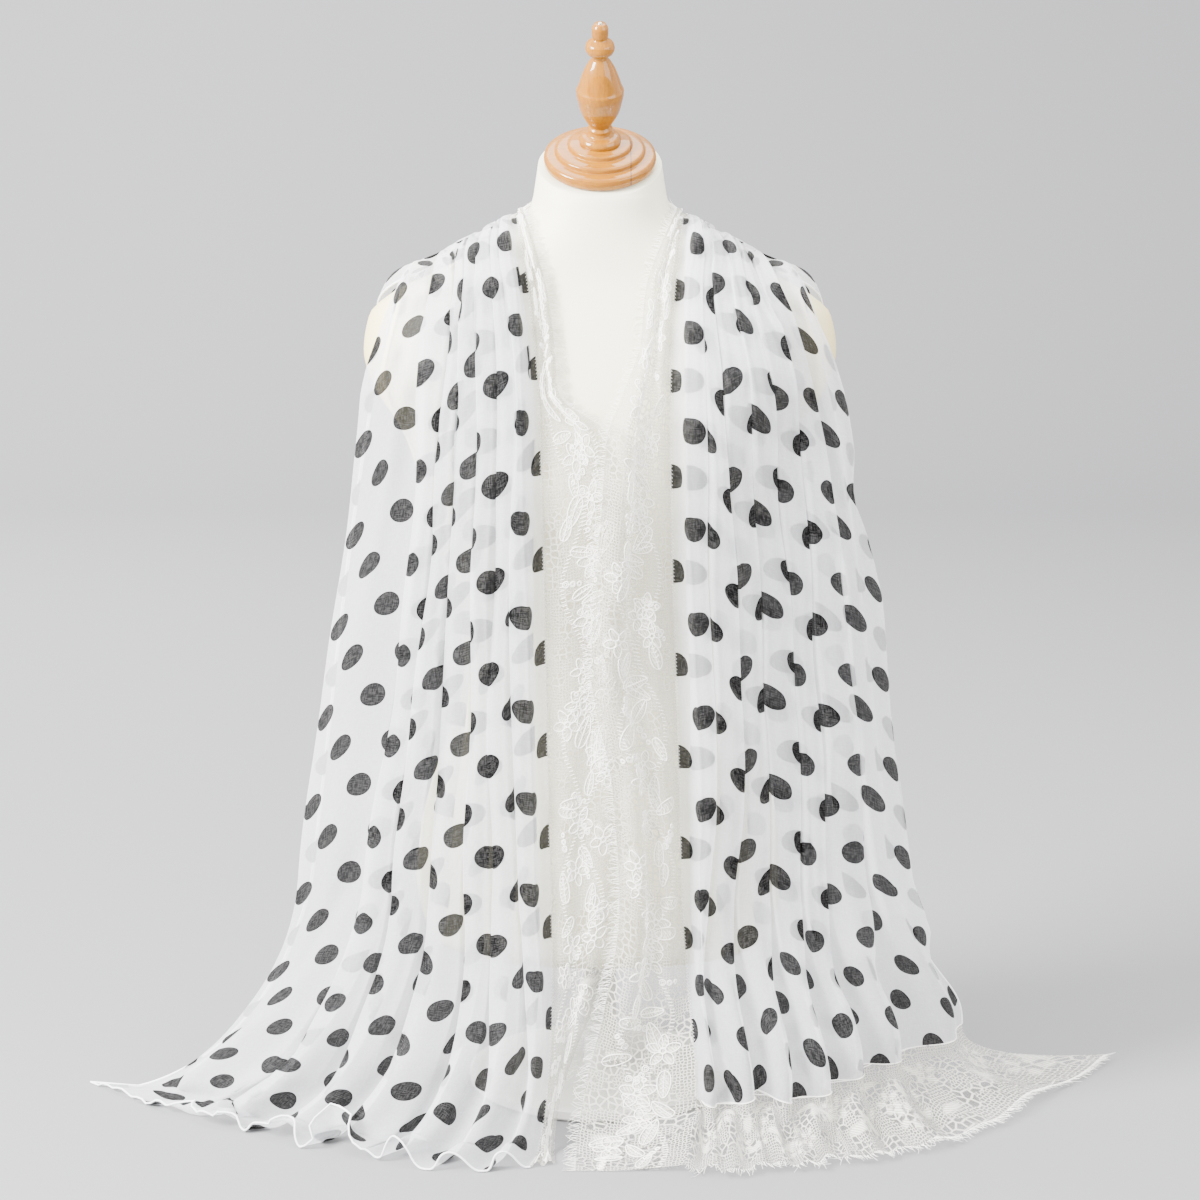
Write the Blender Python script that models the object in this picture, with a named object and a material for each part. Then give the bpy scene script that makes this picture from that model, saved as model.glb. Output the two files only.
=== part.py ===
# A long sheer chiffon scarf with an eyelash lace border, laid round the neck of a limbless
# dress form so that both ends fall to the floor and spread there. Metres, +Z up, front at -Y.
import math

import bpy
import numpy as np

# ---- materials: (red, green, blue), roughness, metallic
MATERIALS = {
    "chiffon": ((0.86, 0.87, 0.89), 0.6, 0.0),
    "lace": ((0.90, 0.90, 0.86), 0.7, 0.0),
    "form_shell": ((0.90, 0.90, 0.83), 0.55, 0.0),
    "varnished_wood": ((0.75, 0.45, 0.16), 0.25, 0.0),
    "stand_metal": ((0.80, 0.80, 0.78), 0.35, 0.3),
}

GAP = 0.0003  # between pieces that touch
SEAM_GAP = 0.0005  # between the edges of two cloths, which bend as they run

# ---- dress form, one row for each horizontal ring
FORM_COLUMNS = ("z", "half_width", "front", "back")
FORM_ROWS = (
    (0.130, 0.140, 0.092, 0.104),
    (0.140, 0.150, 0.100, 0.114),
    (0.200, 0.160, 0.108, 0.124),
    (0.270, 0.146, 0.102, 0.108),
    (0.330, 0.125, 0.092, 0.090),
    (0.370, 0.117, 0.088, 0.083),
    (0.420, 0.123, 0.096, 0.085),
    (0.480, 0.139, 0.114, 0.094),
    (0.535, 0.152, 0.123, 0.101),
    (0.580, 0.168, 0.117, 0.104),
    (0.615, 0.190, 0.107, 0.103),
    (0.645, 0.199, 0.095, 0.098),
    (0.675, 0.194, 0.081, 0.089),
    (0.695, 0.172, 0.071, 0.081),
    (0.712, 0.135, 0.064, 0.074),
    (0.730, 0.100, 0.060, 0.067),
    (0.745, 0.074, 0.057, 0.061),
    (0.760, 0.0600, 0.0545, 0.057),
    (0.775, 0.0555, 0.0520, 0.0545),
)
FORM_POWER = 2.2  # squareness of a ring, where 2 is an ellipse
FORM_AROUND = 32
ARM_Z = 0.66  # height of the arm caps' widest part
NECK_RADIUS = 0.0515  # where the wooden cap sits
CAP_TILT = math.radians(27)  # the cap leans towards the front
CAP_CENTRE = (0.0, -0.008, 0.806)

# ---- turned wood: radius and height along the cap's own axis
CAP_PROFILE = (
    (0.0395, -0.0060),
    (0.0462, -0.0035),
    (0.0468, 0.0005),
    (0.0462, 0.0035),
    (0.0440, 0.0052),
    (0.0375, 0.0062),
    (0.0370, 0.0092),
    (0.0350, 0.0106),
    (0.0268, 0.0116),
    (0.0262, 0.0146),
    (0.0240, 0.0158),
)
CAP_TOP = 0.0158  # where the finial stands
CAP_AROUND = 24
FINIAL_PROFILE = (
    (0.0172, 0.0000),
    (0.0176, 0.0022),
    (0.0160, 0.0052),
    (0.0108, 0.0078),
    (0.0100, 0.0105),
    (0.0104, 0.0125),
    (0.0086, 0.0150),
    (0.0102, 0.0176),
    (0.0126, 0.0215),
    (0.0162, 0.0290),
    (0.0182, 0.0370),
    (0.0196, 0.0450),
    (0.0196, 0.0480),
    (0.0184, 0.0505),
    (0.0158, 0.0585),
    (0.0126, 0.0670),
    (0.0088, 0.0740),
    (0.0066, 0.0775),
    (0.0070, 0.0795),
    (0.0106, 0.0820),
    (0.0121, 0.0860),
    (0.0112, 0.0900),
    (0.0078, 0.0932),
    (0.0060, 0.0948),
    (0.0068, 0.0975),
    (0.0068, 0.1035),
    (0.0046, 0.1078),
)
FINIAL_AROUND = 16

# ---- stand: radius and height of the base's turned outline, and the post
BASE_PROFILE = ((0.112, 0.0), (0.115, 0.003), (0.115, 0.009), (0.110, 0.012))
BASE_TOP = 0.012
POST_RADIUS = 0.014
STAND_AROUND = 32

# ---- cloth
WALL = 0.0012  # thickness of every cloth wall
CLEARANCE = 0.0050  # between the form and the wall
FLOOR_SETTLE = 0.006  # how much of a thread's last drop lies flat on the floor

# One row for each line that runs down the cloth, from the lace seam to the outer hem.
# The x columns run outwards from the middle: where the line crosses the shoulder, at the
# heights in LINE_HEIGHTS, and where it ends. Cloth is the width between it and the next.
LINE_COLUMNS = ("shoulder", "chest", "low", "end_x", "end_y", "end_z", "cloth")
LINE_HEIGHTS = (0.60, 0.20)
LEFT_LINES = (
    (0.0640, 0.0480, 0.0400, 0.0570, -0.2140, 0.0, 0.045),
    (0.0712, 0.0560, 0.0511, 0.0950, -0.2230, 0.0, 0.065),
    (0.0795, 0.0647, 0.0709, 0.1420, -0.2190, 0.0, 0.072),
    (0.0890, 0.0790, 0.0923, 0.1870, -0.1960, 0.0, 0.078),
    (0.0995, 0.0933, 0.1252, 0.2490, -0.1700, 0.0, 0.078),
    (0.1115, 0.1067, 0.1508, 0.3000, -0.1340, 0.0, 0.078),
    (0.1260, 0.1230, 0.1747, 0.3640, -0.0950, 0.0, 0.084),
    (0.1640, 0.1870, 0.2423, 0.4480, -0.0150, 0.0, 0.0),
)
RIGHT_LINES = (
    (0.0640, 0.0560, 0.0667, 0.0800, -0.1600, 0.040, 0.045),
    (0.0712, 0.0690, 0.0760, 0.1000, -0.1620, 0.036, 0.065),
    (0.0795, 0.0840, 0.1000, 0.1310, -0.1560, 0.046, 0.072),
    (0.0890, 0.1000, 0.1250, 0.1620, -0.1500, 0.036, 0.078),
    (0.0995, 0.1170, 0.1483, 0.1900, -0.1330, 0.044, 0.078),
    (0.1115, 0.1350, 0.1681, 0.2180, -0.1080, 0.050, 0.078),
    (0.1260, 0.1550, 0.2027, 0.2560, -0.0780, 0.052, 0.084),
    (0.1640, 0.1900, 0.2447, 0.3160, -0.0240, 0.058, 0.0),
)
# Rows of the wall's grid down a fall, as shares of its length.
FALL_ROWS = (
    0, 0.015, 0.035, 0.06, 0.09, 0.13, 0.18, 0.26, 0.36, 0.46,
    0.56, 0.65, 0.72, 0.78, 0.83, 0.88, 0.92, 0.96, 1,
)
# The highest crest that a fall's pleats may have, at shares of its length.
CREST_PLACES = (0, 0.10, 0.25, 0.75, 0.90, 1)
CREST_LIMITS = (0.007, 0.020, 0.045, 0.040, 0.016, 0.014)
NECK_CREST = 0.014  # and the highest on the middle of the back
PLEAT_STEPS = 5  # columns of the grid across a pleat
PLEAT_TURN = 1.75  # the steepest a pleat's wall turns, in radians from the base
PLEAT_LEAN = 0.30  # how far a crest leans outwards, as a share of its depth
TIGHT_PITCH = 0.003  # a pleat this narrow is nearly flat
OPEN_PITCH = 0.014  # and one this wide may turn fully

# A thread of a fall: it follows the form, hangs, then drops in a curve to where it ends.
THREAD_STEPS = 140
LEAVES_FORM = 0.02  # it hangs from where the form's side is this near, as a level of the ring
BEND_STEPS = 6  # its bends are averaged over this many steps on each side
BEND_FROM = 25  # steps from the shoulder until that has its full effect
DROP_STEPS = 40
DROP_PULLS = (0.7, 0.3, 0.42)  # of the drop's curve: at its top, above a raised end, along the floor
DROP_FLARE = 1.8  # how much faster it spreads at its top than the hanging part above it

# Distance down the form's back, from the foot of the neck to each line, on the middle of the back.
BACK_DISTANCE = (0.052, 0.070, 0.094, 0.121, 0.150, 0.181, 0.213, 0.262)
BACK_SWAG = 0.8  # how soon the lines reach it on the way round, where 1 is a sine wave
# Rows of the grid from one shoulder to the middle of the back, as shares of the way round.
HALF_NECK_ROWS = (0, 0.03, 0.065, 0.10, 0.14, 0.19, 0.27, 0.38, 0.5)
NECK_FOOT_Z = 0.765
BACK_LOWEST_Z = 0.40  # the form's profile is measured down to here
NECK_LACE_SHOULDER = (0.0590, 0.0615, 0.0640)  # lines of the neck's lace, from its free edge
NECK_LACE_BACK = (0.006, 0.029, 0.052)
SEAM_AT_SHOULDER = 0.0006  # between the neck's stretch and each fall

# The lace along the inner edge: the free edge's x at the heights in STRIP_HEIGHTS.
STRIP_COLUMNS = (
    "shoulder", "z700", "z660", "z620", "z590", "z540", "z400", "z300", "z200", "z100",
    "end_x", "end_y", "end_z", "cloth",
)
STRIP_HEIGHTS = (0.70, 0.66, 0.62, 0.59, 0.54, 0.40, 0.30, 0.20, 0.10)
# Lines from the free edge to the seam.
LEFT_FREE = (
    0.0590, 0.0430, 0.0370, 0.0330, -0.0060, -0.0200, -0.0210, -0.0190, -0.0150, 0.0080,
    0.0360, -0.2070, 0.0, 0.0,
)
LEFT_SEAM = (
    0.0640, 0.0550, 0.0500, 0.0480, 0.0475, 0.0460, 0.0430, 0.0410, 0.0400, 0.0410,
    0.0570, -0.2140, 0.0, 0.040,
)
RIGHT_FREE = (
    0.0590, 0.0370, 0.0330, 0.0180, 0.0060, 0.0020, -0.0070, 0.0100, 0.0160, 0.0020,
    -0.0200, -0.2220, 0.0, 0.0,
)
RIGHT_SEAM = (
    0.0640, 0.0600, 0.0570, 0.0560, 0.0560, 0.0570, 0.0600, 0.0640, 0.0667, 0.0690,
    0.0700, -0.2220, 0.0, 0.040,
)
LEFT_FORWARD = 0.002  # how far the free edge stands in front of the seam
RIGHT_FORWARD = 0.014
FORWARD_FROM = 0.66  # height at which it starts to
FORWARD_OVER = 0.06  # and the distance down in which it gets there
LEFT_STRIP_DEPTH = 0.004  # the highest pleat of a strip
RIGHT_STRIP_DEPTH = 0.010
STRIP_TURN = 1.2  # the steepest its pleats turn
STRIP_FULL = 0.10  # share of a strip's length in which its pleats reach their full height
STRIP_HOLES = 30  # rows of gaps down a strip
HOLE_SHARE = 0.36  # of the distance from one row of gaps to the next
STRIP_PHASES = (0.0, 0.35, 0.55, 1.0)  # grid columns across each of a strip's two pleats
HOLE_COLUMNS = (1, 4)  # the cells that are gaps
NO_HOLES = 0.27  # share of a strip's length, from the shoulder, that is too narrow for gaps

# Where the end lace's free edge lies on the floor, one row for each line of the right fall.
END_COLUMNS = ("x", "y")
END_ROWS = (
    (0.0700, -0.2220),
    (0.1060, -0.2290),
    (0.1450, -0.2230),
    (0.1790, -0.2110),
    (0.2160, -0.2000),
    (0.2560, -0.1790),
    (0.3260, -0.1300),
    (0.4520, 0.0420),
)
END_LACE_ROWS = 7
END_CREST = 0.009  # how high the end lace's ruffles stand at its free edge
END_SINK = 0.003  # and how much of each lies flat
END_PULLS = (0.65, 0.5)  # of its curve: below the seam, and along the floor
END_HOLE_ROWS = (1, 3)

# ---- fringe
LASH_LENGTH = 0.009
BACKING_WIDTH = 0.0015
LEFT_LASHED = 0.90  # the left fringe ends here, above where the right lace covers it
LASH_LIFT = 0.25  # how far the lashes turn from the lace's face, away from the form
LOW_EDGE = 0.015  # an edge this near the floor has its lashes level

DENSE_ROWS = 160  # rows of the fine grid that a fall's base is read from
DENSE_COLUMNS = 8  # and its columns between two lines
PROFILE_STEPS = 500  # points on a profile of the form that distances are read from


def smooth_curve(knots, values, at):
    # A cubic through the points that doesn't overshoot them.
    knots, values = np.asarray(knots, float), np.asarray(values, float)
    step = np.diff(knots)
    rise = np.diff(values) / step
    slope = np.zeros(len(knots))
    slope[0], slope[-1] = rise[0], rise[-1]
    for i in range(1, len(knots) - 1):
        if rise[i - 1] * rise[i] > 0:
            before, after = 2 * step[i] + step[i - 1], step[i] + 2 * step[i - 1]
            slope[i] = (before + after) / (before / rise[i - 1] + after / rise[i])
    at = np.clip(at, knots[0], knots[-1])
    i = np.clip(np.searchsorted(knots, at) - 1, 0, len(step) - 1)
    t = (at - knots[i]) / step[i]
    return (
        values[i] * (1 + 2 * t) * (1 - t) ** 2
        + slope[i] * step[i] * t * (1 - t) ** 2
        + values[i + 1] * t * t * (3 - 2 * t)
        + slope[i + 1] * step[i] * t * t * (t - 1)
    )


def ease(t):
    t = np.clip(t, 0, 1)
    return t * t * (3 - 2 * t)


def unit(vectors):
    return vectors / np.maximum(np.linalg.norm(vectors, axis=-1, keepdims=True), 1e-12)


def column(rows, names, name):
    return np.array([row[names.index(name)] for row in rows], float)


# ---- the dress form

FORM_Z = column(FORM_ROWS, FORM_COLUMNS, "z")


def form_size(name, z):
    return smooth_curve(FORM_Z, column(FORM_ROWS, FORM_COLUMNS, name), z)


def form_level(points):
    # 1 on the form's surface, more outside it.
    x, y, z = np.moveaxis(points, -1, 0)
    depth = np.where(y < 0, form_size("front", z), form_size("back", z))
    width = form_size("half_width", z)
    return ((np.abs(x) / width) ** FORM_POWER + (np.abs(y) / depth) ** FORM_POWER) ** (1 / FORM_POWER)


def form_normal(points):
    reach = 1e-4
    slopes = [
        form_level(points + reach * axis) - form_level(points - reach * axis) for axis in np.eye(3)
    ]
    return unit(np.stack(slopes, axis=-1))


def form_radius(angle, z):
    # Distance from the form's axis to its surface, in a direction round +Z.
    depth = form_size("back" if math.sin(angle) >= 0 else "front", z)
    width = form_size("half_width", z)
    level = (abs(math.cos(angle)) / width) ** FORM_POWER + (abs(math.sin(angle)) / depth) ** FORM_POWER
    return level ** (-1 / FORM_POWER)


def shoulder_height(x):
    # Height at which the form's side is x from the middle, above its widest ring.
    heights = np.linspace(ARM_Z, FORM_Z[-1], PROFILE_STEPS)
    widths = form_size("half_width", heights)
    return np.interp(x, widths[::-1], heights[::-1])


# ---- building meshes


def make_object(name, points, faces, material, smooth=True):
    mesh = bpy.data.meshes.new(name)
    mesh.from_pydata([tuple(p) for p in points], [], faces)
    mesh.update()
    if smooth:
        mesh.shade_smooth()
        mesh.set_sharp_from_angle(angle=math.radians(40))
    mesh.materials.append(material)
    made = bpy.data.objects.new(name, mesh)
    bpy.context.scene.collection.objects.link(made)
    return made


def make_material(name, colour, roughness, metallic):
    material = bpy.data.materials.new(name)
    material.use_nodes = True
    shader = material.node_tree.nodes["Principled BSDF"]
    shader.inputs["Base Color"].default_value = (*colour, 1.0)
    shader.inputs["Roughness"].default_value = roughness
    shader.inputs["Metallic"].default_value = metallic
    return material


def ring_faces(rings, around):
    # Sides between rings of points, then a flat face on each end.
    faces = []
    for i in range(rings - 1):
        for j in range(around):
            a, b = i * around + j, i * around + (j + 1) % around
            faces.append((a, b, b + around, a + around))
    faces.append(tuple(reversed(range(around))))
    faces.append(tuple(range((rings - 1) * around, rings * around)))
    return faces


def turned(name, profile, around, material, lift=0.0, lean=0.0, centre=(0.0, 0.0, 0.0)):
    # A solid turned round +Z, then leant towards the front about its centre.
    angles = np.linspace(0, 2 * math.pi, around, endpoint=False)
    points = []
    for radius, height in profile:
        for angle in angles:
            x, y, z = radius * math.cos(angle), radius * math.sin(angle), height + lift
            points.append(
                (
                    centre[0] + x,
                    centre[1] + y * math.cos(lean) - z * math.sin(lean),
                    centre[2] + y * math.sin(lean) + z * math.cos(lean),
                )
            )
    return make_object(name, points, ring_faces(len(profile), around), material)


def build_form(material):
    angles = np.linspace(0, 2 * math.pi, FORM_AROUND, endpoint=False)
    power = 2 / FORM_POWER
    across = np.sign(np.cos(angles)) * np.abs(np.cos(angles)) ** power
    along = np.sign(np.sin(angles)) * np.abs(np.sin(angles)) ** power
    points = []
    for z, half_width, front, back in FORM_ROWS:
        depth = np.where(along < 0, front, back)
        points += list(np.stack([half_width * across, depth * along, np.full(FORM_AROUND, z)], axis=1))
    # The neck ends in a slanted circle, just under the wooden cap.
    drop = CAP_PROFILE[0][1] - GAP
    for x, y in zip(NECK_RADIUS * np.cos(angles), NECK_RADIUS * np.sin(angles)):
        points.append(
            (
                CAP_CENTRE[0] + x,
                CAP_CENTRE[1] + y * math.cos(CAP_TILT) - drop * math.sin(CAP_TILT),
                CAP_CENTRE[2] + y * math.sin(CAP_TILT) + drop * math.cos(CAP_TILT),
            )
        )
    return make_object("form_torso", points, ring_faces(len(FORM_ROWS) + 1, FORM_AROUND), material)


# ---- pleats

TURNS = np.linspace(0, 2.0, 81)
PHASES = np.linspace(0, 1, 97)


def pleat_shapes():
    # For each turn: how far along and how high a pleat's line has come, in pitches, at each phase.
    angle = TURNS[:, None] * np.sin(2 * math.pi * PHASES)[None, :]
    steps = np.diff(PHASES)
    along = np.cumsum(0.5 * (np.cos(angle)[:, 1:] + np.cos(angle)[:, :-1]) * steps, axis=1)
    high = np.cumsum(0.5 * (np.sin(angle)[:, 1:] + np.sin(angle)[:, :-1]) * steps, axis=1)
    along, high = (np.hstack([np.zeros((len(TURNS), 1)), part]) for part in (along, high))
    total = along[:, -1:].copy()
    return along / total, high / total, total[:, 0]


PLEAT_ALONG, PLEAT_HIGH, PLEAT_SHARE = pleat_shapes()


def pleat_turn(pitch, cloth, steepest):
    # The turn that fits this much cloth in this pitch, as far as a narrow pleat can take it.
    wanted = np.interp(-np.minimum(pitch / cloth, 1.0), -PLEAT_SHARE, TURNS)
    most = steepest * np.clip((pitch - TIGHT_PITCH) / (OPEN_PITCH - TIGHT_PITCH), 0.25, 1.0)
    return np.minimum(wanted, most)


def pleat_at(turn, phase):
    place = np.clip(turn / TURNS[-1], 0, 1) * (len(TURNS) - 1)
    low = np.minimum(place.astype(int), len(TURNS) - 2)
    part = (place - low)[:, None]
    i = np.interp(phase, PHASES, np.arange(len(PHASES)))
    j = np.minimum(i.astype(int), len(PHASES) - 2)
    rest = (i - j)[None, :]

    def read(table):
        lower = table[low][:, j] * (1 - rest) + table[low][:, j + 1] * rest
        upper = table[low + 1][:, j] * (1 - rest) + table[low + 1][:, j + 1] * rest
        return lower * (1 - part) + upper * part

    return read(PLEAT_ALONG), read(PLEAT_HIGH)


def grid_normals(grid, flat_rows=()):
    # A grid's normals. Those of a row on a shoulder seam stay in the seam's plane.
    normals = np.cross(np.gradient(grid, axis=0), np.gradient(grid, axis=1))
    for row in flat_rows:
        normals[row, :, 1] = 0
    return unit(normals)


def read_grid(grid, row, place):
    # Values of a fine grid at fractional rows and columns.
    row = np.clip(row, 0, grid.shape[0] - 1.000001)
    place = np.clip(place, 0, grid.shape[1] - 1.000001)
    i, j = row.astype(int), place.astype(int)
    a, b = (row - i)[..., None], (place - j)[..., None]
    top = grid[i, j] * (1 - b) + grid[i, j + 1] * b
    bottom = grid[i + 1, j] * (1 - b) + grid[i + 1, j + 1] * b
    return top * (1 - a) + bottom * a


def pleated(base, normals, cloth, rows, shares, depth_limit, steepest=PLEAT_TURN, lean=PLEAT_LEAN):
    # Lays the pleats on a fine base grid. shares are the phases of the columns in each pleat.
    dense_rows = base.shape[0] - 1
    row = rows * dense_rows
    lines = len(cloth)
    points = []
    for k, width in enumerate(cloth):
        phases = shares if k == lines - 1 else shares[:-1]
        start = read_grid(base, row, np.full(len(row), k * DENSE_COLUMNS, float))
        end = read_grid(base, row, np.full(len(row), (k + 1) * DENSE_COLUMNS, float))
        pitch = np.linalg.norm(end - start, axis=1)
        along, high = pleat_at(pleat_turn(pitch, width, steepest), phases)
        depth = pitch[:, None] * high
        peak = np.maximum(depth.max(axis=1), 1e-9)
        depth *= np.minimum(1, depth_limit / peak)[:, None]
        place = (k + along + lean * depth / pitch[:, None]) * DENSE_COLUMNS
        at = read_grid(base, row[:, None] + 0 * place, place)
        out = unit(read_grid(normals, row[:, None] + 0 * place, place))
        points.append(at + out * depth[..., None])
    return np.concatenate(points, axis=1)


# ---- the base that a fall's pleats stand on


def resample(line, count):
    along = np.concatenate([[0], np.cumsum(np.linalg.norm(np.diff(line, axis=0), axis=1))])
    at = np.linspace(0, along[-1], count)
    return np.stack([np.interp(at, along, line[:, i]) for i in range(3)], axis=1)


def over_form(shoulder, heights, xs, lowest):
    # A thread from the shoulder down the form's front, which hangs straight once it has left it.
    top = float(shoulder_height(shoulder))
    z = top - (top - lowest) * np.linspace(0, 1, THREAD_STEPS) ** 2
    x = smooth_curve((*heights[::-1], top), (*xs[::-1], shoulder), z)
    inside = 1 - (np.abs(x) / form_size("half_width", z)) ** FORM_POWER
    y = -form_size("front", z) * np.maximum(inside, 0) ** (1 / FORM_POWER)
    line = np.stack([x, y, z], axis=1)
    normal = form_normal(line)
    normal[0, 1] = 0
    off = np.flatnonzero((inside < LEAVES_FORM) & (z < ARM_Z))
    if len(off):
        normal[off[0] :] = normal[off[0] - 1]
    line += CLEARANCE * unit(normal)
    line[:, 1] = np.minimum.accumulate(line[:, 1])
    line[0, 1] = 0
    window = np.full(2 * BEND_STEPS + 1, 1 / (2 * BEND_STEPS + 1))
    soft = np.convolve(np.pad(line[:, 1], BEND_STEPS, mode="edge"), window, mode="valid")
    blend = ease(np.arange(len(line)) / BEND_FROM)
    line[:, 1] += np.minimum(soft - line[:, 1], 0) * blend
    return line


def drop_to_floor(start, slope, end):
    # From the hanging part down to where the thread ends, flat if that is on the floor.
    t = np.linspace(0, 1, DROP_STEPS)[1:, None]
    top_pull, raised_pull, floor_pull = DROP_PULLS
    first = start + top_pull * np.array([DROP_FLARE * slope * start[2], 0, end[2] - start[2]])
    if end[2] > 0:
        second = end + np.array([0, 0, raised_pull * (start[2] - end[2])])
    else:
        second = end + floor_pull * (first - end) * np.array([1, 1, 0])
    line = (
        start * (1 - t) ** 3
        + 3 * first * t * (1 - t) ** 2
        + 3 * second * t * t * (1 - t)
        + end * t**3
    )
    if end[2] <= 0:
        line[:, 2] = np.maximum(0, (line[:, 2] - FLOOR_SETTLE) * start[2] / (start[2] - FLOOR_SETTLE))
    return line


def fall_base(lines, heights, forward=0.0):
    # The fine grid of a fall, on the side where x is positive.
    table = np.array(lines, float)
    count = (len(lines) - 1) * DENSE_COLUMNS
    threads = []
    for i in range(count + 1):
        w = i / DENSE_COLUMNS
        row = [np.interp(w, np.arange(len(lines)), table[:, c]) for c in range(table.shape[1])]
        shoulder, xs = row[0], row[1 : 1 + len(heights)]
        end = np.array(row[1 + len(heights) : 4 + len(heights)])
        line = over_form(shoulder, heights, xs, heights[-1])
        started = ease((FORWARD_FROM - line[:, 2]) / FORWARD_OVER)
        line[:, 1] -= forward * ease(1 - i / count) * started
        slope = (line[-1, 0] - line[-8, 0]) / (line[-8, 2] - line[-1, 2])
        threads.append(resample(np.vstack([line, drop_to_floor(line[-1], slope, end)]), DENSE_ROWS + 1))
    return np.stack(threads, axis=1)


def neck_base(first_x, lines_back):
    # The fine grid round the back of the neck, from the left shoulder to the right one.
    angles = np.linspace(math.pi, 0, DENSE_ROWS + 1)
    heights = np.linspace(NECK_FOOT_Z, BACK_LOWEST_Z, PROFILE_STEPS)
    count = (len(first_x) - 1) * DENSE_COLUMNS
    w = np.arange(count + 1) / DENSE_COLUMNS
    side = form_radius(0.0, heights)
    side_distance = np.concatenate([[0], np.cumsum(np.hypot(np.diff(side), np.diff(heights)))])
    outwards = slice(0, np.argmax(side) + 1)
    across = np.interp(w, np.arange(len(first_x)), first_x)
    at_shoulder = np.interp(across, side[outwards], side_distance[outwards])
    at_back = np.interp(w, np.arange(len(lines_back)), lines_back)
    rows = []
    for angle in angles:
        radius = form_radius(angle, heights)
        distance = np.concatenate([[0], np.cumsum(np.hypot(np.diff(radius), np.diff(heights)))])
        share = math.sin(angle) ** BACK_SWAG
        reach = at_shoulder * (1 - share) + at_back * share
        r, z = np.interp(reach, distance, radius), np.interp(reach, distance, heights)
        dr = np.interp(reach, distance, np.gradient(radius, distance))
        dz = np.interp(reach, distance, np.gradient(heights, distance))
        length = np.hypot(dr, dz)
        r, z = r - CLEARANCE * dz / length, z + CLEARANCE * dr / length
        rows.append(np.stack([r * math.cos(angle), r * math.sin(angle), z], axis=1))
    return np.stack(rows, axis=0)


# ---- walls


def wall(name, inner, material, normals, missing=(), mirror=False):
    # A closed wall on a grid of points, which are its inner face. missing holds cells left open.
    rows, columns = inner.shape[:2]
    outer = inner + WALL * normals
    points = np.concatenate([inner.reshape(-1, 3), outer.reshape(-1, 3)])
    if mirror:
        points[:, 0] *= -1
    size = rows * columns
    missing = set(missing)
    faces = []

    def present(i, j):
        return 0 <= i < rows - 1 and 0 <= j < columns - 1 and (i, j) not in missing

    for i in range(rows - 1):
        for j in range(columns - 1):
            if not present(i, j):
                continue
            a, d = i * columns + j, (i + 1) * columns + j
            b, c = a + 1, d + 1
            # both faces start at the same corner, so that they split along the same diagonal
            faces += [(a, b, c, d), (size + a, size + d, size + c, size + b)]
            sides = {(i - 1, j): (a, b), (i, j + 1): (b, c), (i + 1, j): (c, d), (i, j - 1): (d, a)}
            for beside, (p, q) in sides.items():
                if not present(*beside):
                    faces.append((q, p, size + p, size + q))
    if mirror:
        faces = [tuple(reversed(face)) for face in faces]
    used = sorted({v for face in faces for v in face})
    index = {v: n for n, v in enumerate(used)}
    faces = [tuple(index[v] for v in face) for face in faces]
    return make_object(name, points[used], faces, material)


def chiffon_fall(lines):
    base = fall_base(lines, LINE_HEIGHTS)
    rows = np.array(FALL_ROWS)
    cloth = column(lines, LINE_COLUMNS, "cloth")[:-1]
    phases = np.linspace(0, 1, PLEAT_STEPS + 1)
    limit = np.interp(rows, CREST_PLACES, CREST_LIMITS)
    return pleated(base, grid_normals(base, (0,)), cloth, rows, phases, limit)


def neck_rows():
    half = np.array(HALF_NECK_ROWS)
    return np.concatenate([half, 1 - half[-2::-1]])


def chiffon_round_neck():
    shoulder = column(RIGHT_LINES, LINE_COLUMNS, "shoulder")
    cloth = column(RIGHT_LINES, LINE_COLUMNS, "cloth")[:-1]
    base = neck_base(shoulder, BACK_DISTANCE)
    rows = neck_rows()
    limit = CREST_LIMITS[0] + (NECK_CREST - CREST_LIMITS[0]) * np.sin(math.pi * rows)
    phases = np.linspace(0, 1, PLEAT_STEPS + 1)
    return pleated(base, grid_normals(base, (0, -1)), cloth, rows, phases, limit)


def edge_shares(points):
    along = np.concatenate([[0], np.cumsum(np.linalg.norm(np.diff(points, axis=0), axis=1))])
    return along / along[-1]


def along_edge(points, normals, shares):
    # An edge's points and normals at shares of its length.
    own = edge_shares(points)

    def read(values):
        return np.stack([np.interp(shares, own, values[:, i]) for i in range(3)], axis=1)

    return read(points), read(normals)


def sew(grid, seam_points):
    # Moves a strip so that its last column lies on the seam.
    share = (np.arange(grid.shape[1]) / (grid.shape[1] - 1)) ** 2
    grid = grid + (seam_points - grid[:, -1])[:, None, :] * share[None, :, None]
    grid[:, :, 2] = np.maximum(grid[:, :, 2], 0)
    return grid


def seam_of(grid, normals):
    # The seam line just inside a cloth's first column, with its normals.
    aside = unit(grid[:, 0] - grid[:, 1])
    return grid[:, 0] + SEAM_GAP * aside, normals[:, 0]


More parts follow.
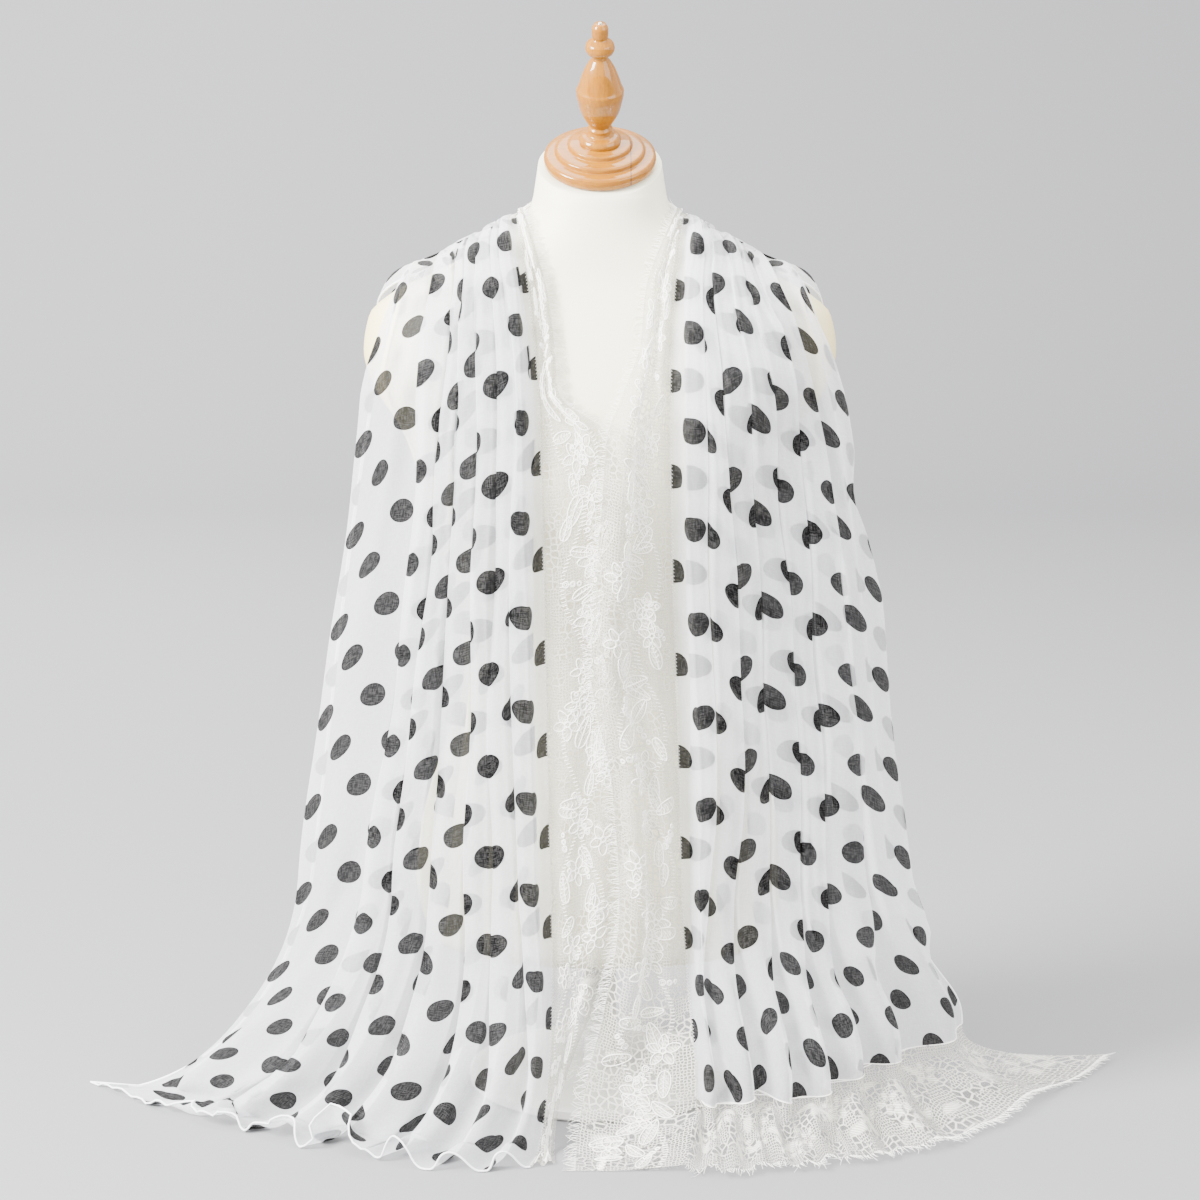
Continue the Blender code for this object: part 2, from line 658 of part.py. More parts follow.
def lace_strip(free, sewn, forward, crest, seam):
    # The lace down one fall, between a row for its free edge and one for its sewn edge.
    seam_points, seam_normals = seam
    middle = tuple((a + b) / 2 for a, b in zip(free, sewn))
    width = sewn[-1]
    base = fall_base((free, middle, sewn), STRIP_HEIGHTS, forward)
    step = 1 / STRIP_HOLES
    rows = np.array([0] + [step * (i + part) for i in range(STRIP_HOLES) for part in (HOLE_SHARE, 1)])
    for share in edge_shares(seam_points):
        rows[np.argmin(np.abs(rows - share))] = share
    limit = np.interp(rows, (0, STRIP_FULL), (CREST_LIMITS[0], crest))
    normals = grid_normals(base, (0,))
    grid = pleated(base, normals, (width, width), rows, np.array(STRIP_PHASES), limit, STRIP_TURN, 0)
    points, normals = along_edge(seam_points, seam_normals, rows)
    grid = sew(grid, points)
    own = grid_normals(grid, (0,))
    own[:, -1] = normals
    lowered = [i for i in range(STRIP_HOLES - 1) if i * step > NO_HOLES]
    missing = [(2 * i, j) for i in lowered for j in HOLE_COLUMNS]
    return grid, own, missing


def lace_round_neck(seam_points, seam_normals):
    base = neck_base(NECK_LACE_SHOULDER, NECK_LACE_BACK)
    rows = neck_rows()
    width = RIGHT_SEAM[-1]
    limit = np.full(len(rows), CREST_LIMITS[0])
    normals = grid_normals(base, (0, -1))
    grid = pleated(base, normals, (width, width), rows, np.array(STRIP_PHASES), limit, STRIP_TURN, 0)
    grid[:, :, 1] += SEAM_AT_SHOULDER
    grid = sew(grid, seam_points)
    own = grid_normals(grid, (0, -1))
    own[:, -1] = seam_normals
    return grid, own


def end_lace(fall, fall_normals):
    # From the right fall's last row down to the floor and out along it.
    down = unit(fall[-1] - fall[-2])
    start = fall[-1] + SEAM_GAP * down
    columns = fall.shape[1]
    w = np.arange(columns) / PLEAT_STEPS
    end = np.zeros((columns, 3))
    for i, name in enumerate(END_COLUMNS):
        end[:, i] = np.interp(w, np.arange(len(END_ROWS)), column(END_ROWS, END_COLUMNS, name))
    wave = 0.5 - 0.5 * np.cos(2 * math.pi * w)
    end[:, 2] = np.maximum(0, END_CREST * wave - END_SINK)
    drop = start[:, 2:]
    first = start + END_PULLS[0] * down * drop
    second = end + END_PULLS[1] * (first - end) * np.array([1, 1, 0])
    t = np.linspace(0, 1, END_LACE_ROWS)[:, None, None]
    grid = (
        start * (1 - t) ** 3
        + 3 * first * t * (1 - t) ** 2
        + 3 * second * t * t * (1 - t)
        + end * t**3
    )
    normals = grid_normals(grid)
    normals[0] = fall_normals[-1]
    missing = []
    for first_column, i in enumerate(END_HOLE_ROWS, 1):
        missing += [(i, j) for j in range(first_column, columns - 2, 2)]
    return grid, normals, missing


def fringe(name, edge, away, normals, material, first_lash=0, mirror=False):
    # A narrow backing beside a lace's free edge, with a lock of lashes on every other stretch.
    normals, away = normals.copy(), away.copy()
    ends = np.abs(edge[:, 1]) < 2 * SEAM_AT_SHOULDER
    normals[ends, 1] = 0
    low = edge[:, 2:] < LOW_EDGE
    away = unit(np.where(low, away * (1, 1, 0), away + LASH_LIFT * normals))
    away[ends, 1] = 0
    inner = edge + SEAM_GAP * away
    outer = inner + BACKING_WIDTH * away
    corners = [inner, outer, outer + WALL * normals, inner + WALL * normals]
    count = len(edge)
    points = list(np.stack(corners, axis=1).reshape(-1, 3))
    faces = [(0, 1, 2, 3), tuple(4 * (count - 1) + i for i in (3, 2, 1, 0))]
    for i in range(count - 1):
        a, b = 4 * i, 4 * (i + 1)
        for j in range(4):
            k = (j + 1) % 4
            if j == 1 and i % 2 == first_lash:
                tip = 0.5 * (outer[i] + outer[i + 1]) + LASH_LENGTH * away[i] + 0.5 * WALL * normals[i]
                points.append(tip)
                top = len(points) - 1
                around = (a + k, a + j, b + j, b + k, a + k)
                faces += [(around[n], around[n + 1], top) for n in range(4)]
            else:
                faces.append((a + k, a + j, b + j, b + k))
    points = np.array(points)
    if mirror:
        points[:, 0] *= -1
    volume = 0
    for face in faces:
        for i in range(1, len(face) - 1):
            a, b, c = (points[face[n]] for n in (0, i, i + 1))
            volume += np.dot(a, np.cross(b, c))
    if volume < 0:
        faces = [tuple(reversed(face)) for face in faces]
    return make_object(name, points, faces, material)


def free_edge(grid, normals):
    # The free edge, the way out of the lace there and its normals.
    pleat = len(STRIP_PHASES) - 1
    return grid[:, 0], unit(grid[:, 0] - grid[:, pleat]), normals[:, 0]


def build_scarf(chiffon, lace):
    left = chiffon_fall(LEFT_LINES)
    left_normals = grid_normals(left, (0,))
    wall("chiffon_left", left, chiffon, left_normals, mirror=True)
    right = chiffon_fall(RIGHT_LINES)
    right_normals = grid_normals(right, (0,))
    wall("chiffon_right", right, chiffon, right_normals)
    neck = chiffon_round_neck()
    neck[:, :, 1] += SEAM_AT_SHOULDER
    neck_normals = grid_normals(neck, (0, -1))
    wall("chiffon_neck", neck, chiffon, neck_normals)

    grid, normals = lace_round_neck(*seam_of(neck, neck_normals))
    wall("lace_neck", grid, lace, normals)
    fringe("fringe_neck", *free_edge(grid, normals), lace)

    end, end_normals, missing = end_lace(right, right_normals)
    wall("lace_end", end, lace, end_normals, missing)

    seam = seam_of(left, left_normals)
    grid, normals, missing = lace_strip(LEFT_FREE, LEFT_SEAM, LEFT_FORWARD, LEFT_STRIP_DEPTH, seam)
    wall("lace_left", grid, lace, normals, missing, mirror=True)
    lashed = int(LEFT_LASHED * len(grid))
    fringe("fringe_left", *free_edge(grid[:lashed], normals[:lashed]), lace, mirror=True)

    seam = [np.vstack(parts) for parts in zip(seam_of(right, right_normals), seam_of(end, end_normals))]
    grid, normals, missing = lace_strip(RIGHT_FREE, RIGHT_SEAM, RIGHT_FORWARD, RIGHT_STRIP_DEPTH, seam)
    wall("lace_right", grid, lace, normals, missing)
    fringe("fringe_right", *free_edge(grid, normals), lace)

    # The end fringe runs along both laces' lower edges.
    edge = np.vstack([grid[-1, :-1], end[-1]])
    away = unit(np.vstack([grid[-1, :-1] - grid[-2, :-1], end[-1] - end[-2]]) * np.array([1, 1, 0]))
    up = np.vstack([normals[-1, :-1], end_normals[-1]])
    fringe("fringe_end", edge, away, up, lace)


def clear_scene():
    for made in list(bpy.data.objects):
        bpy.data.objects.remove(made, do_unlink=True)


def main():
    clear_scene()
    materials = {name: make_material(name, *look) for name, look in MATERIALS.items()}
    build_form(materials["form_shell"])
    wood, metal = materials["varnished_wood"], materials["stand_metal"]
    turned("neck_cap", CAP_PROFILE, CAP_AROUND, wood, lean=CAP_TILT, centre=CAP_CENTRE)
    turned("finial", FINIAL_PROFILE, FINIAL_AROUND, wood, CAP_TOP + GAP, CAP_TILT, CAP_CENTRE)
    turned("stand_base", BASE_PROFILE, STAND_AROUND, metal)
    post = ((POST_RADIUS, BASE_TOP + GAP), (POST_RADIUS, FORM_Z[0] - GAP))
    turned("stand_post", post, STAND_AROUND // 2, metal)
    build_scarf(materials["chiffon"], materials["lace"])


main()
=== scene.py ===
# A long sheer chiffon scarf with an eyelash lace border, laid round the neck of a limbless
# dress form. Metres, +Z up, front towards -Y. Left and right are the viewer's.
import math

import bpy
import numpy as np
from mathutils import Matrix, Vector


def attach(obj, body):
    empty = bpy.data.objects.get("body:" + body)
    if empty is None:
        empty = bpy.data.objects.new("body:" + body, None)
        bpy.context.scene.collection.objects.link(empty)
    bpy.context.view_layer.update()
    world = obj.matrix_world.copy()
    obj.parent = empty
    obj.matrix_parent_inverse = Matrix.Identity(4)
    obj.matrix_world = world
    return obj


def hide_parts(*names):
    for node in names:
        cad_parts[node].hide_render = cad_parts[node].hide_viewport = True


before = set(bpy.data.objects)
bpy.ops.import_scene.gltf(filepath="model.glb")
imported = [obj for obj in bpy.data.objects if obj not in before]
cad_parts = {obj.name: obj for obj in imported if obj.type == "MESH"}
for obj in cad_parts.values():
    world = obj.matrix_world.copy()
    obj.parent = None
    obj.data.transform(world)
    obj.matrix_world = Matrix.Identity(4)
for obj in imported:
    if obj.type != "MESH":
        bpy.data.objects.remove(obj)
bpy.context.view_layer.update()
print("frame loaded")


# Small tools

def hexColour(text):  # sRGB hex to the linear colour that a socket wants
    values = [int(text[i:i + 2], 16) / 255 for i in (0, 2, 4)]
    return tuple(v / 12.92 if v <= 0.04045 else ((v + 0.055) / 1.055) ** 2.4 for v in values) + (1.0,)


def addNode(tree, kind, inputs=None, **settings):  # a node with its settings, values and links
    node = tree.nodes.new(kind)
    for name, value in settings.items():
        setattr(node, name, value)
    for key, value in (inputs or {}).items():
        if isinstance(value, bpy.types.NodeSocket):
            tree.links.new(value, node.inputs[key])
        else:
            node.inputs[key].default_value = value
    return node


def newMaterial(name):
    material = bpy.data.materials.new(name)
    material.use_nodes = True
    material.node_tree.nodes.clear()
    return material, material.node_tree


def bumpedSurface(tree, height, strength, distance, look):  # ends a tree in one solid surface
    bump = addNode(tree, "ShaderNodeBump", {
        "Height": height, "Strength": strength, "Distance": distance})
    shader = addNode(tree, "ShaderNodeBsdfPrincipled", {**look, "Normal": bump.outputs[0]})
    addNode(tree, "ShaderNodeOutputMaterial", {"Surface": shader.outputs[0]})


def sheerSurface(tree, height, strength, distance, look, passing, cover):
    # ends a tree in thin cloth: some light passes through its threads, and the rest between them
    bump = addNode(tree, "ShaderNodeBump", {
        "Height": height, "Strength": strength, "Distance": distance})
    front = addNode(tree, "ShaderNodeBsdfPrincipled", {**look, "Normal": bump.outputs[0]})
    through = addNode(tree, "ShaderNodeBsdfTranslucent", {"Color": look["Base Color"]})
    cloth = addNode(tree, "ShaderNodeMixShader", {
        0: passing, 1: front.outputs[0], 2: through.outputs[0]})
    clear = addNode(tree, "ShaderNodeBsdfTransparent")
    sheer = addNode(tree, "ShaderNodeMixShader", {
        0: cover, 1: clear.outputs[0], 2: cloth.outputs[0]})
    addNode(tree, "ShaderNodeOutputMaterial", {"Surface": sheer.outputs[0]})


def smoothCurve(knots, values, at):  # a cubic through the points that doesn't overshoot
    knots, values = np.asarray(knots, float), np.asarray(values, float)
    step = np.diff(knots)
    rise = np.diff(values) / step
    slope = np.zeros(len(knots))
    slope[0], slope[-1] = rise[0], rise[-1]
    for i in range(1, len(knots) - 1):
        if rise[i - 1] * rise[i] > 0:
            before, after = 2 * step[i] + step[i - 1], step[i] + 2 * step[i - 1]
            slope[i] = (before + after) / (before / rise[i - 1] + after / rise[i])
    at = np.clip(at, knots[0], knots[-1])
    i = np.clip(np.searchsorted(knots, at) - 1, 0, len(step) - 1)
    t = (at - knots[i]) / step[i]
    return (values[i] * (1 + 2 * t) * (1 - t) ** 2 + slope[i] * step[i] * t * (1 - t) ** 2
            + values[i + 1] * t * t * (3 - 2 * t) + slope[i + 1] * step[i] * t * t * (t - 1))


def bezier(start, first, second, end, t):
    return (start * (1 - t) ** 3 + 3 * first * t * (1 - t) ** 2
            + 3 * second * t * t * (1 - t) + end * t ** 3)


def ease(t):
    t = np.clip(t, 0, 1)
    return t * t * (3 - 2 * t)


def unit(vectors):
    return vectors / np.maximum(np.linalg.norm(vectors, axis=-1, keepdims=True), 1e-12)


def lengthAlong(points):  # running length down a grid's first axis
    steps = np.linalg.norm(np.diff(points, axis=0), axis=-1)
    return np.concatenate([np.zeros((1,) + steps.shape[1:]), np.cumsum(steps, axis=0)])


def gridNormals(grid, flatRows=()):
    normals = np.cross(np.gradient(grid, axis=0), np.gradient(grid, axis=1))
    for row in flatRows:
        normals[row, :, 1] = 0  # a shoulder seam's normals stay in its plane
    return unit(normals)


def readGrid(grid, row, place):  # a fine grid at fractional rows and columns
    row = np.clip(row, 0, grid.shape[0] - 1.000001)
    place = np.clip(place, 0, grid.shape[1] - 1.000001)
    i, j = row.astype(int), place.astype(int)
    a, b = (row - i)[..., None], (place - j)[..., None]
    top = grid[i, j] * (1 - b) + grid[i, j + 1] * b
    bottom = grid[i + 1, j] * (1 - b) + grid[i + 1, j + 1] * b
    return top * (1 - a) + bottom * a


def wander(at, seed, waves=5, slowest=1.0):  # smooth seeded unevenness, about -1 to 1
    random = np.random.default_rng(seed)
    total = 0
    for n in range(1, waves + 1):
        size = random.normal() / n ** 0.7
        total = total + size * np.sin(2 * math.pi * (slowest * n * at + random.random()))
    return total / 1.8


def meshPiece(name, points, faces, material, uv=None, attributes=None):
    mesh = bpy.data.meshes.new(name)
    mesh.from_pydata([tuple(p) for p in points], [], faces)
    mesh.update()
    mesh.shade_smooth()
    if uv is not None:
        layer = mesh.uv_layers.new(name="flatCloth")
        loops = np.empty(len(mesh.loops), int)
        mesh.loops.foreach_get("vertex_index", loops)
        layer.data.foreach_set("uv", np.asarray(uv, float)[loops].ravel())
    for key, values in (attributes or {}).items():
        made = mesh.attributes.new(key, "FLOAT", "POINT")
        made.data.foreach_set("value", np.asarray(values, float).ravel())
    mesh.materials.append(material)
    piece = bpy.data.objects.new(name, mesh)
    bpy.context.scene.collection.objects.link(piece)
    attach(piece, "root")
    return piece


def gridPiece(name, grid, uv, material, mirror=False, attributes=None):
    rows, columns = grid.shape[:2]
    points = grid.reshape(-1, 3).copy()
    if mirror:
        points[:, 0] *= -1
    a = (np.arange(rows - 1)[:, None] * columns + np.arange(columns - 1)[None, :]).ravel()
    quads = np.stack([a, a + columns, a + columns + 1, a + 1] if not mirror
                     else [a, a + 1, a + columns + 1, a + columns], axis=1)
    flat = {key: values.reshape(-1) for key, values in (attributes or {}).items()}
    return meshPiece(name, points, quads.tolist(), material, uv.reshape(-1, 2), flat)


# Camera, light and floor

view = {
    "cameraPlace": (0.0, -2.6, 0.95),
    "lookAt": (0.0, 0.0, 0.43),
    "fieldOfView": 2 * math.atan(600 / 3094),
    "floorColour": "828284",
    "worldStrength": 2.45,
    "sweep": {"front": -6.0, "bendsAt": 3.0, "radius": 1.5, "top": 5.0, "halfWidth": 6,
              "below": 0.0004, "steps": 16},
}


def addAimed(name, data, place, target):  # a camera or light that looks at a point
    holder = bpy.data.objects.new(name, data)
    holder.location = place
    holder.rotation_euler = (Vector(target) - Vector(place)).to_track_quat("-Z", "Y").to_euler()
    bpy.context.scene.collection.objects.link(holder)
    return holder


def buildView():
    camera = bpy.data.cameras.new("camera")
    camera.angle = view["fieldOfView"]
    bpy.context.scene.camera = addAimed("camera", camera, view["cameraPlace"], view["lookAt"])

    world = bpy.data.worlds.new("studioAir")
    world.use_nodes = True
    world.node_tree.nodes["Background"].inputs["Color"].default_value = (1, 1, 1, 1)
    world.node_tree.nodes["Background"].inputs["Strength"].default_value = view["worldStrength"]
    bpy.context.scene.world = world

    softboxes = {  # place, what it faces, size, power
        "keySoftbox": ((-2.3, -1.3, 1.9), (0, 0, 0.45), 1.2, 620),
        "fillSoftbox": ((2.2, -1.6, 1.5), (0, 0, 0.45), 2.0, 85),
        "topSoftbox": ((0.0, 0.3, 2.8), (0, 0, 0.45), 2.2, 130),
        "backdropSoftbox": ((-1.6, 1.9, 2.2), (-0.7, 4.2, 0.7), 1.5, 210),
    }
    for name, (place, target, size, power) in softboxes.items():
        light = bpy.data.lights.new(name, "AREA")
        light.size = size
        light.energy = power
        addAimed(name, light, place, target)

    # a floor that sweeps up into the backdrop
    material, tree = newMaterial("paintedBoard")  # matt emulsion: no gloss, even tone
    shader = addNode(tree, "ShaderNodeBsdfPrincipled", {
        "Base Color": hexColour(view["floorColour"]), "Roughness": 0.9})
    addNode(tree, "ShaderNodeOutputMaterial", {"Surface": shader.outputs[0]})
    sweepShape = view["sweep"]
    radius, half = sweepShape["radius"], sweepShape["halfWidth"]
    profile = [(sweepShape["front"], 0.0)]
    for step in range(sweepShape["steps"] + 1):
        turn = math.pi / 2 * step / sweepShape["steps"]
        profile.append((sweepShape["bendsAt"] + radius * math.sin(turn),
                        radius - radius * math.cos(turn)))
    profile.append((sweepShape["bendsAt"] + radius, sweepShape["top"]))
    points = [(x, y, z - sweepShape["below"]) for y, z in profile for x in (-half, half)]
    faces = [(2 * i, 2 * i + 1, 2 * i + 3, 2 * i + 2) for i in range(len(profile) - 1)]
    mesh = bpy.data.meshes.new("floorSweep")
    mesh.from_pydata(points, [], faces)
    mesh.shade_smooth()
    mesh.materials.append(material)
    sweep = bpy.data.objects.new("floorSweep", mesh)
    bpy.context.scene.collection.objects.link(sweep)


buildView()
print("camera, light and floor made")


# The dress form's shape, which the cloth follows

formShape = {
    # height, half width, front and back of each ring
    "rings": (
        (0.130, 0.140, 0.092, 0.104), (0.140, 0.150, 0.100, 0.114), (0.200, 0.160, 0.108, 0.124),
        (0.270, 0.146, 0.102, 0.108), (0.330, 0.125, 0.092, 0.090), (0.370, 0.117, 0.088, 0.083),
        (0.420, 0.123, 0.096, 0.085), (0.480, 0.139, 0.114, 0.094), (0.535, 0.152, 0.123, 0.101),
        (0.580, 0.168, 0.117, 0.104), (0.615, 0.190, 0.107, 0.103), (0.645, 0.199, 0.095, 0.098),
        (0.675, 0.194, 0.081, 0.089), (0.695, 0.172, 0.071, 0.081), (0.712, 0.135, 0.064, 0.074),
        (0.730, 0.100, 0.060, 0.067), (0.745, 0.074, 0.057, 0.061), (0.760, 0.0600, 0.0545, 0.057),
        (0.775, 0.0555, 0.0520, 0.0545),
    ),
    "squareness": 2.2,
    "armHeight": 0.66,
    "neckRadius": 0.0515,
    "capTilt": math.radians(27),
    "capCentre": (0.0, -0.008, 0.806),
    "capUnderside": -0.0060,
}
ringTable = np.array(formShape["rings"])


def formSize(which, z):
    return smoothCurve(ringTable[:, 0],
                       ringTable[:, ("halfWidth", "front", "back").index(which) + 1], z)


def formLevel(points):
    x, y, z = np.moveaxis(points, -1, 0)
    depth = np.where(y < 0, formSize("front", z), formSize("back", z))
    power = formShape["squareness"]
    return ((np.abs(x) / formSize("halfWidth",
                                  z)) ** power + (np.abs(y) / depth) ** power) ** (1 / power)


def formNormal(points):
    reach = 1e-4
    slopes = [formLevel(points + reach * axis) - formLevel(points - reach * axis) for axis in np.eye(3)]
    return unit(np.stack(slopes, axis=-1))


def formRadius(angle, z):
    power = formShape["squareness"]
    depth = formSize("back" if math.sin(angle) >= 0 else "front", z)
    level = (abs(math.cos(angle)) / formSize("halfWidth",
                                             z)) ** power + (abs(math.sin(angle)) / depth) ** power
    return level ** (-1 / power)


# The cloth's base: threads that hang from the shoulder line to the floor

seamGap = 0.0003
clothShape = {
    "clearance": 0.0056,  # from the form to the middle of the cloth
    "floorSettle": 0.006,
    "denseRows": 320,
    "denseColumns": 8,
    "leanPlaces": (0, 0.08, 0.20, 0.70, 0.88, 1),  # how far crests lean, for their height
    "leans": (0.35, 0.55, 0.85, 0.85, 0.35, 0.25),
    "hemLean": 0.45,
    "neckLean": 0.50,
    # the highest crest, at shares of a fall's length
    "crestPlaces": (0, 0.10, 0.25, 0.75, 0.90, 1),
    "crestLimits": (0.007, 0.020, 0.045, 0.040, 0.019, 0.019),
    "neckCrest": 0.014,
    "fallRows": 250,
    "neckRows": 160,
    "roundsFrom": 0.78,  # of a fall's length, where its folds start to open into tubes
    "roundsOver": 0.16,
    "doubledFrom": 60,  # how sharply cloth bends where it starts to look doubled
    "doubledOver": 260,
    "aboveFloor": 0.0007,
    "halfRoundNeck": 0.215,  # cloth from the middle of the back to the highest line's shoulder
    "slip": 0.014,
}
threadShape = {
    "samples": 500,
    "steps": 140,
    "leavesForm": 0.02,
    "softSteps": 6,  # bends are averaged over this many steps on each side
    "softFrom": 25,
    "dropSteps": 60,
    "forwardFrom": 0.66,  # height at which a lace strip's free edge starts to stand forward
    "forwardOver": 0.06,
}
lineHeights = (0.60, 0.20)
# x at the shoulder and at lineHeights, the end's x, y and z, and the cloth to the next line
leftLines = (
    (0.0640, 0.0480, 0.0400, 0.0570, -0.2140, 0.0, 0.053),
    (0.0712, 0.0560, 0.0511, 0.0950, -0.2230, 0.0, 0.060),
    (0.0795, 0.0647, 0.0709, 0.1420, -0.2190, 0.0, 0.064),
    (0.0890, 0.0790, 0.0923, 0.1870, -0.1960, 0.0, 0.068),
    (0.0995, 0.0933, 0.1252, 0.2490, -0.1700, 0.0, 0.071),
    (0.1115, 0.1067, 0.1508, 0.3000, -0.1340, 0.0, 0.076),
    (0.1260, 0.1230, 0.1747, 0.3640, -0.0950, 0.0, 0.108),
    (0.1640, 0.1870, 0.2423, 0.4480, -0.0150, 0.0, 0.0),
)
rightLines = (
    (0.0640, 0.0560, 0.0667, 0.0800, -0.1600, 0.040, 0.053),
    (0.0712, 0.0690, 0.0760, 0.1000, -0.1620, 0.036, 0.060),
    (0.0795, 0.0840, 0.1000, 0.1310, -0.1560, 0.046, 0.064),
    (0.0890, 0.1000, 0.1250, 0.1620, -0.1500, 0.036, 0.068),
    (0.0995, 0.1170, 0.1483, 0.1900, -0.1330, 0.044, 0.071),
    (0.1115, 0.1350, 0.1681, 0.2180, -0.1080, 0.050, 0.076),
    (0.1260, 0.1550, 0.2027, 0.2560, -0.0780, 0.052, 0.108),
    (0.1640, 0.1900, 0.2447, 0.3160, -0.0240, 0.058, 0.0),
)
dropPulls = {"top": 0.7, "raised": 0.3, "floor": 0.42, "flare": 1.8}


def resample(line, count):
    along = lengthAlong(line)
    at = np.linspace(0, along[-1], count)
    return np.stack([np.interp(at, along, line[:, i]) for i in range(3)], axis=1)


def overForm(shoulder, heights, xs, lowest):
    # a thread down the form's front, which then hangs straight
    upper = np.linspace(formShape["armHeight"], ringTable[-1, 0], threadShape["samples"])
    top = float(np.interp(shoulder, formSize("halfWidth", upper)[::-1], upper[::-1]))
    z = top - (top - lowest) * np.linspace(0, 1, threadShape["steps"]) ** 2
    x = smoothCurve((*heights[::-1], top), (*xs[::-1], shoulder), z)
    inside = 1 - (np.abs(x) / formSize("halfWidth", z)) ** formShape["squareness"]
    y = -formSize("front", z) * np.maximum(inside, 0) ** (1 / formShape["squareness"])
    line = np.stack([x, y, z], axis=1)
    normal = formNormal(line)
    normal[0, 1] = 0
    off = np.flatnonzero((inside < threadShape["leavesForm"]) & (z < formShape["armHeight"]))
    if len(off):
        normal[off[0]:] = normal[off[0] - 1]
    line += clothShape["clearance"] * unit(normal)
    line[:, 1] = np.minimum.accumulate(line[:, 1])
    line[0, 1] = 0
    width = 2 * threadShape["softSteps"] + 1
    padded = np.pad(line[:, 1], threadShape["softSteps"], mode="edge")
    soft = np.convolve(padded, np.full(width, 1 / width), mode="valid")
    line[:, 1] += np.minimum(soft - line[:, 1],
                             0) * ease(np.arange(len(line)) / threadShape["softFrom"])
    return line


def dropToFloor(start, slope, end):
    t = np.linspace(0, 1, threadShape["dropSteps"])[1:, None]
    first = start + dropPulls["top"] * np.array([dropPulls["flare"] * slope * start[2], 0,
                                                 end[2] - start[2]])
    if end[2] > 0:
        second = end + np.array([0, 0, dropPulls["raised"] * (start[2] - end[2])])
    else:
        second = end + dropPulls["floor"] * (first - end) * np.array([1, 1, 0])
    line = bezier(start, first, second, end, t)
    if end[2] <= 0:
        settle = clothShape["floorSettle"]
        line[:, 2] = np.maximum(0, (line[:, 2] - settle) * start[2] / (start[2] - settle))
    return line


def fallBase(lines, heights, forward=0.0):
    # the fine grid of a fall, on the side where x is positive
    table = np.array(lines, float)
    dense = clothShape["denseColumns"]
    count = (len(lines) - 1) * dense
    threads = []
    for i in range(count + 1):
        w = i / dense
        row = [np.interp(w, np.arange(len(lines)), table[:, c]) for c in range(table.shape[1])]
        end = np.array(row[1 + len(heights):4 + len(heights)])
        line = overForm(row[0], heights, row[1:1 + len(heights)], heights[-1])
        below = (threadShape["forwardFrom"] - line[:, 2]) / threadShape["forwardOver"]
        line[:, 1] -= forward * ease(1 - i / count) * ease(below)
        slope = (line[-1, 0] - line[-8, 0]) / (line[-8, 2] - line[-1, 2])
        threads.append(resample(np.vstack([line, dropToFloor(line[-1], slope, end)]),
                                clothShape["denseRows"] + 1))
    return np.stack(threads, axis=1)


neckShape = {
    "backDistance": (0.052, 0.070, 0.094, 0.121, 0.150, 0.181, 0.213, 0.262),
    "backSwag": 0.8,
    "footHeight": 0.765,
    "lowest": 0.40,
    "laceShoulder": (0.0590, 0.0615, 0.0640),
    "laceBack": (0.006, 0.029, 0.052),
}


def neckBase(firstX, linesBack):  # the fine grid round the back of the neck, from the left shoulder
    heights = np.linspace(neckShape["footHeight"], neckShape["lowest"], threadShape["samples"])
    w = np.arange((len(firstX) - 1) * clothShape["denseColumns"] + 1) / clothShape["denseColumns"]
    side = formRadius(0.0, heights)
    sideDistance = lengthAlong(np.stack([side, heights], axis=1))
    outwards = slice(0, np.argmax(side) + 1)
    across = np.interp(w, np.arange(len(firstX)), firstX)
    atShoulder = np.interp(across, side[outwards], sideDistance[outwards])
    atBack = np.interp(w, np.arange(len(linesBack)), linesBack)
    rows = []
    for angle in np.linspace(math.pi, 0, clothShape["denseRows"] + 1):
        radius = formRadius(angle, heights)
        distance = lengthAlong(np.stack([radius, heights], axis=1))
        share = math.sin(angle) ** neckShape["backSwag"]
        reach = atShoulder * (1 - share) + atBack * share
        r, z = np.interp(reach, distance, radius), np.interp(reach, distance, heights)
        dr = np.interp(reach, distance, np.gradient(radius, distance))
        dz = np.interp(reach, distance, np.gradient(heights, distance))
        length = np.hypot(dr, dz)
        r, z = r - clothShape["clearance"] * dz / length, z + clothShape["clearance"] * dr / length
        rows.append(np.stack([r * math.cos(angle), r * math.sin(angle), z], axis=1))
    return np.stack(rows, axis=0)


# Pleats: a valley, a steep side, a broad crest and the other side, from a turning direction

pleatShape = {
    "crestShare": 0.80,  # of the pitch that the crest's flat top spans
    "topBow": 0.22,  # how far the top's direction swings, in radians
    "edgeShare": 0.16,  # of a side that its top edge rounds over in
    "softSteps": 22,  # columns across a ripple of lace
    "gathers": 2,  # fine folds in each pleat where it is squeezed flat at the shoulder
    "gatherHeight": 0.42,  # of the highest crest there
}
sideSteps = np.array((0, 0.10, 0.22, 0.34, 0.47, 0.60, 0.71, 0.80, 0.86, 0.90, 0.94, 0.97, 1.0))
topSteps = 14
pleatShares = np.linspace(0.06, 1.0, 95)


def columnsOf(s, angle, wanted):  # a pleat's line, from its direction at each length of cloth
    step = np.diff(s)
    along = np.concatenate([[0], np.cumsum(np.cos((angle[1:] + angle[:-1]) / 2) * step)])
    high = np.concatenate([[0], np.cumsum(np.sin((angle[1:] + angle[:-1]) / 2) * step)])
    high -= high[-1] * s
    bend = np.abs(np.gradient(angle, s))
    return [np.interp(wanted, s, values) for values in (along / along[-1], high / along[-1], s,
                                                        bend)]


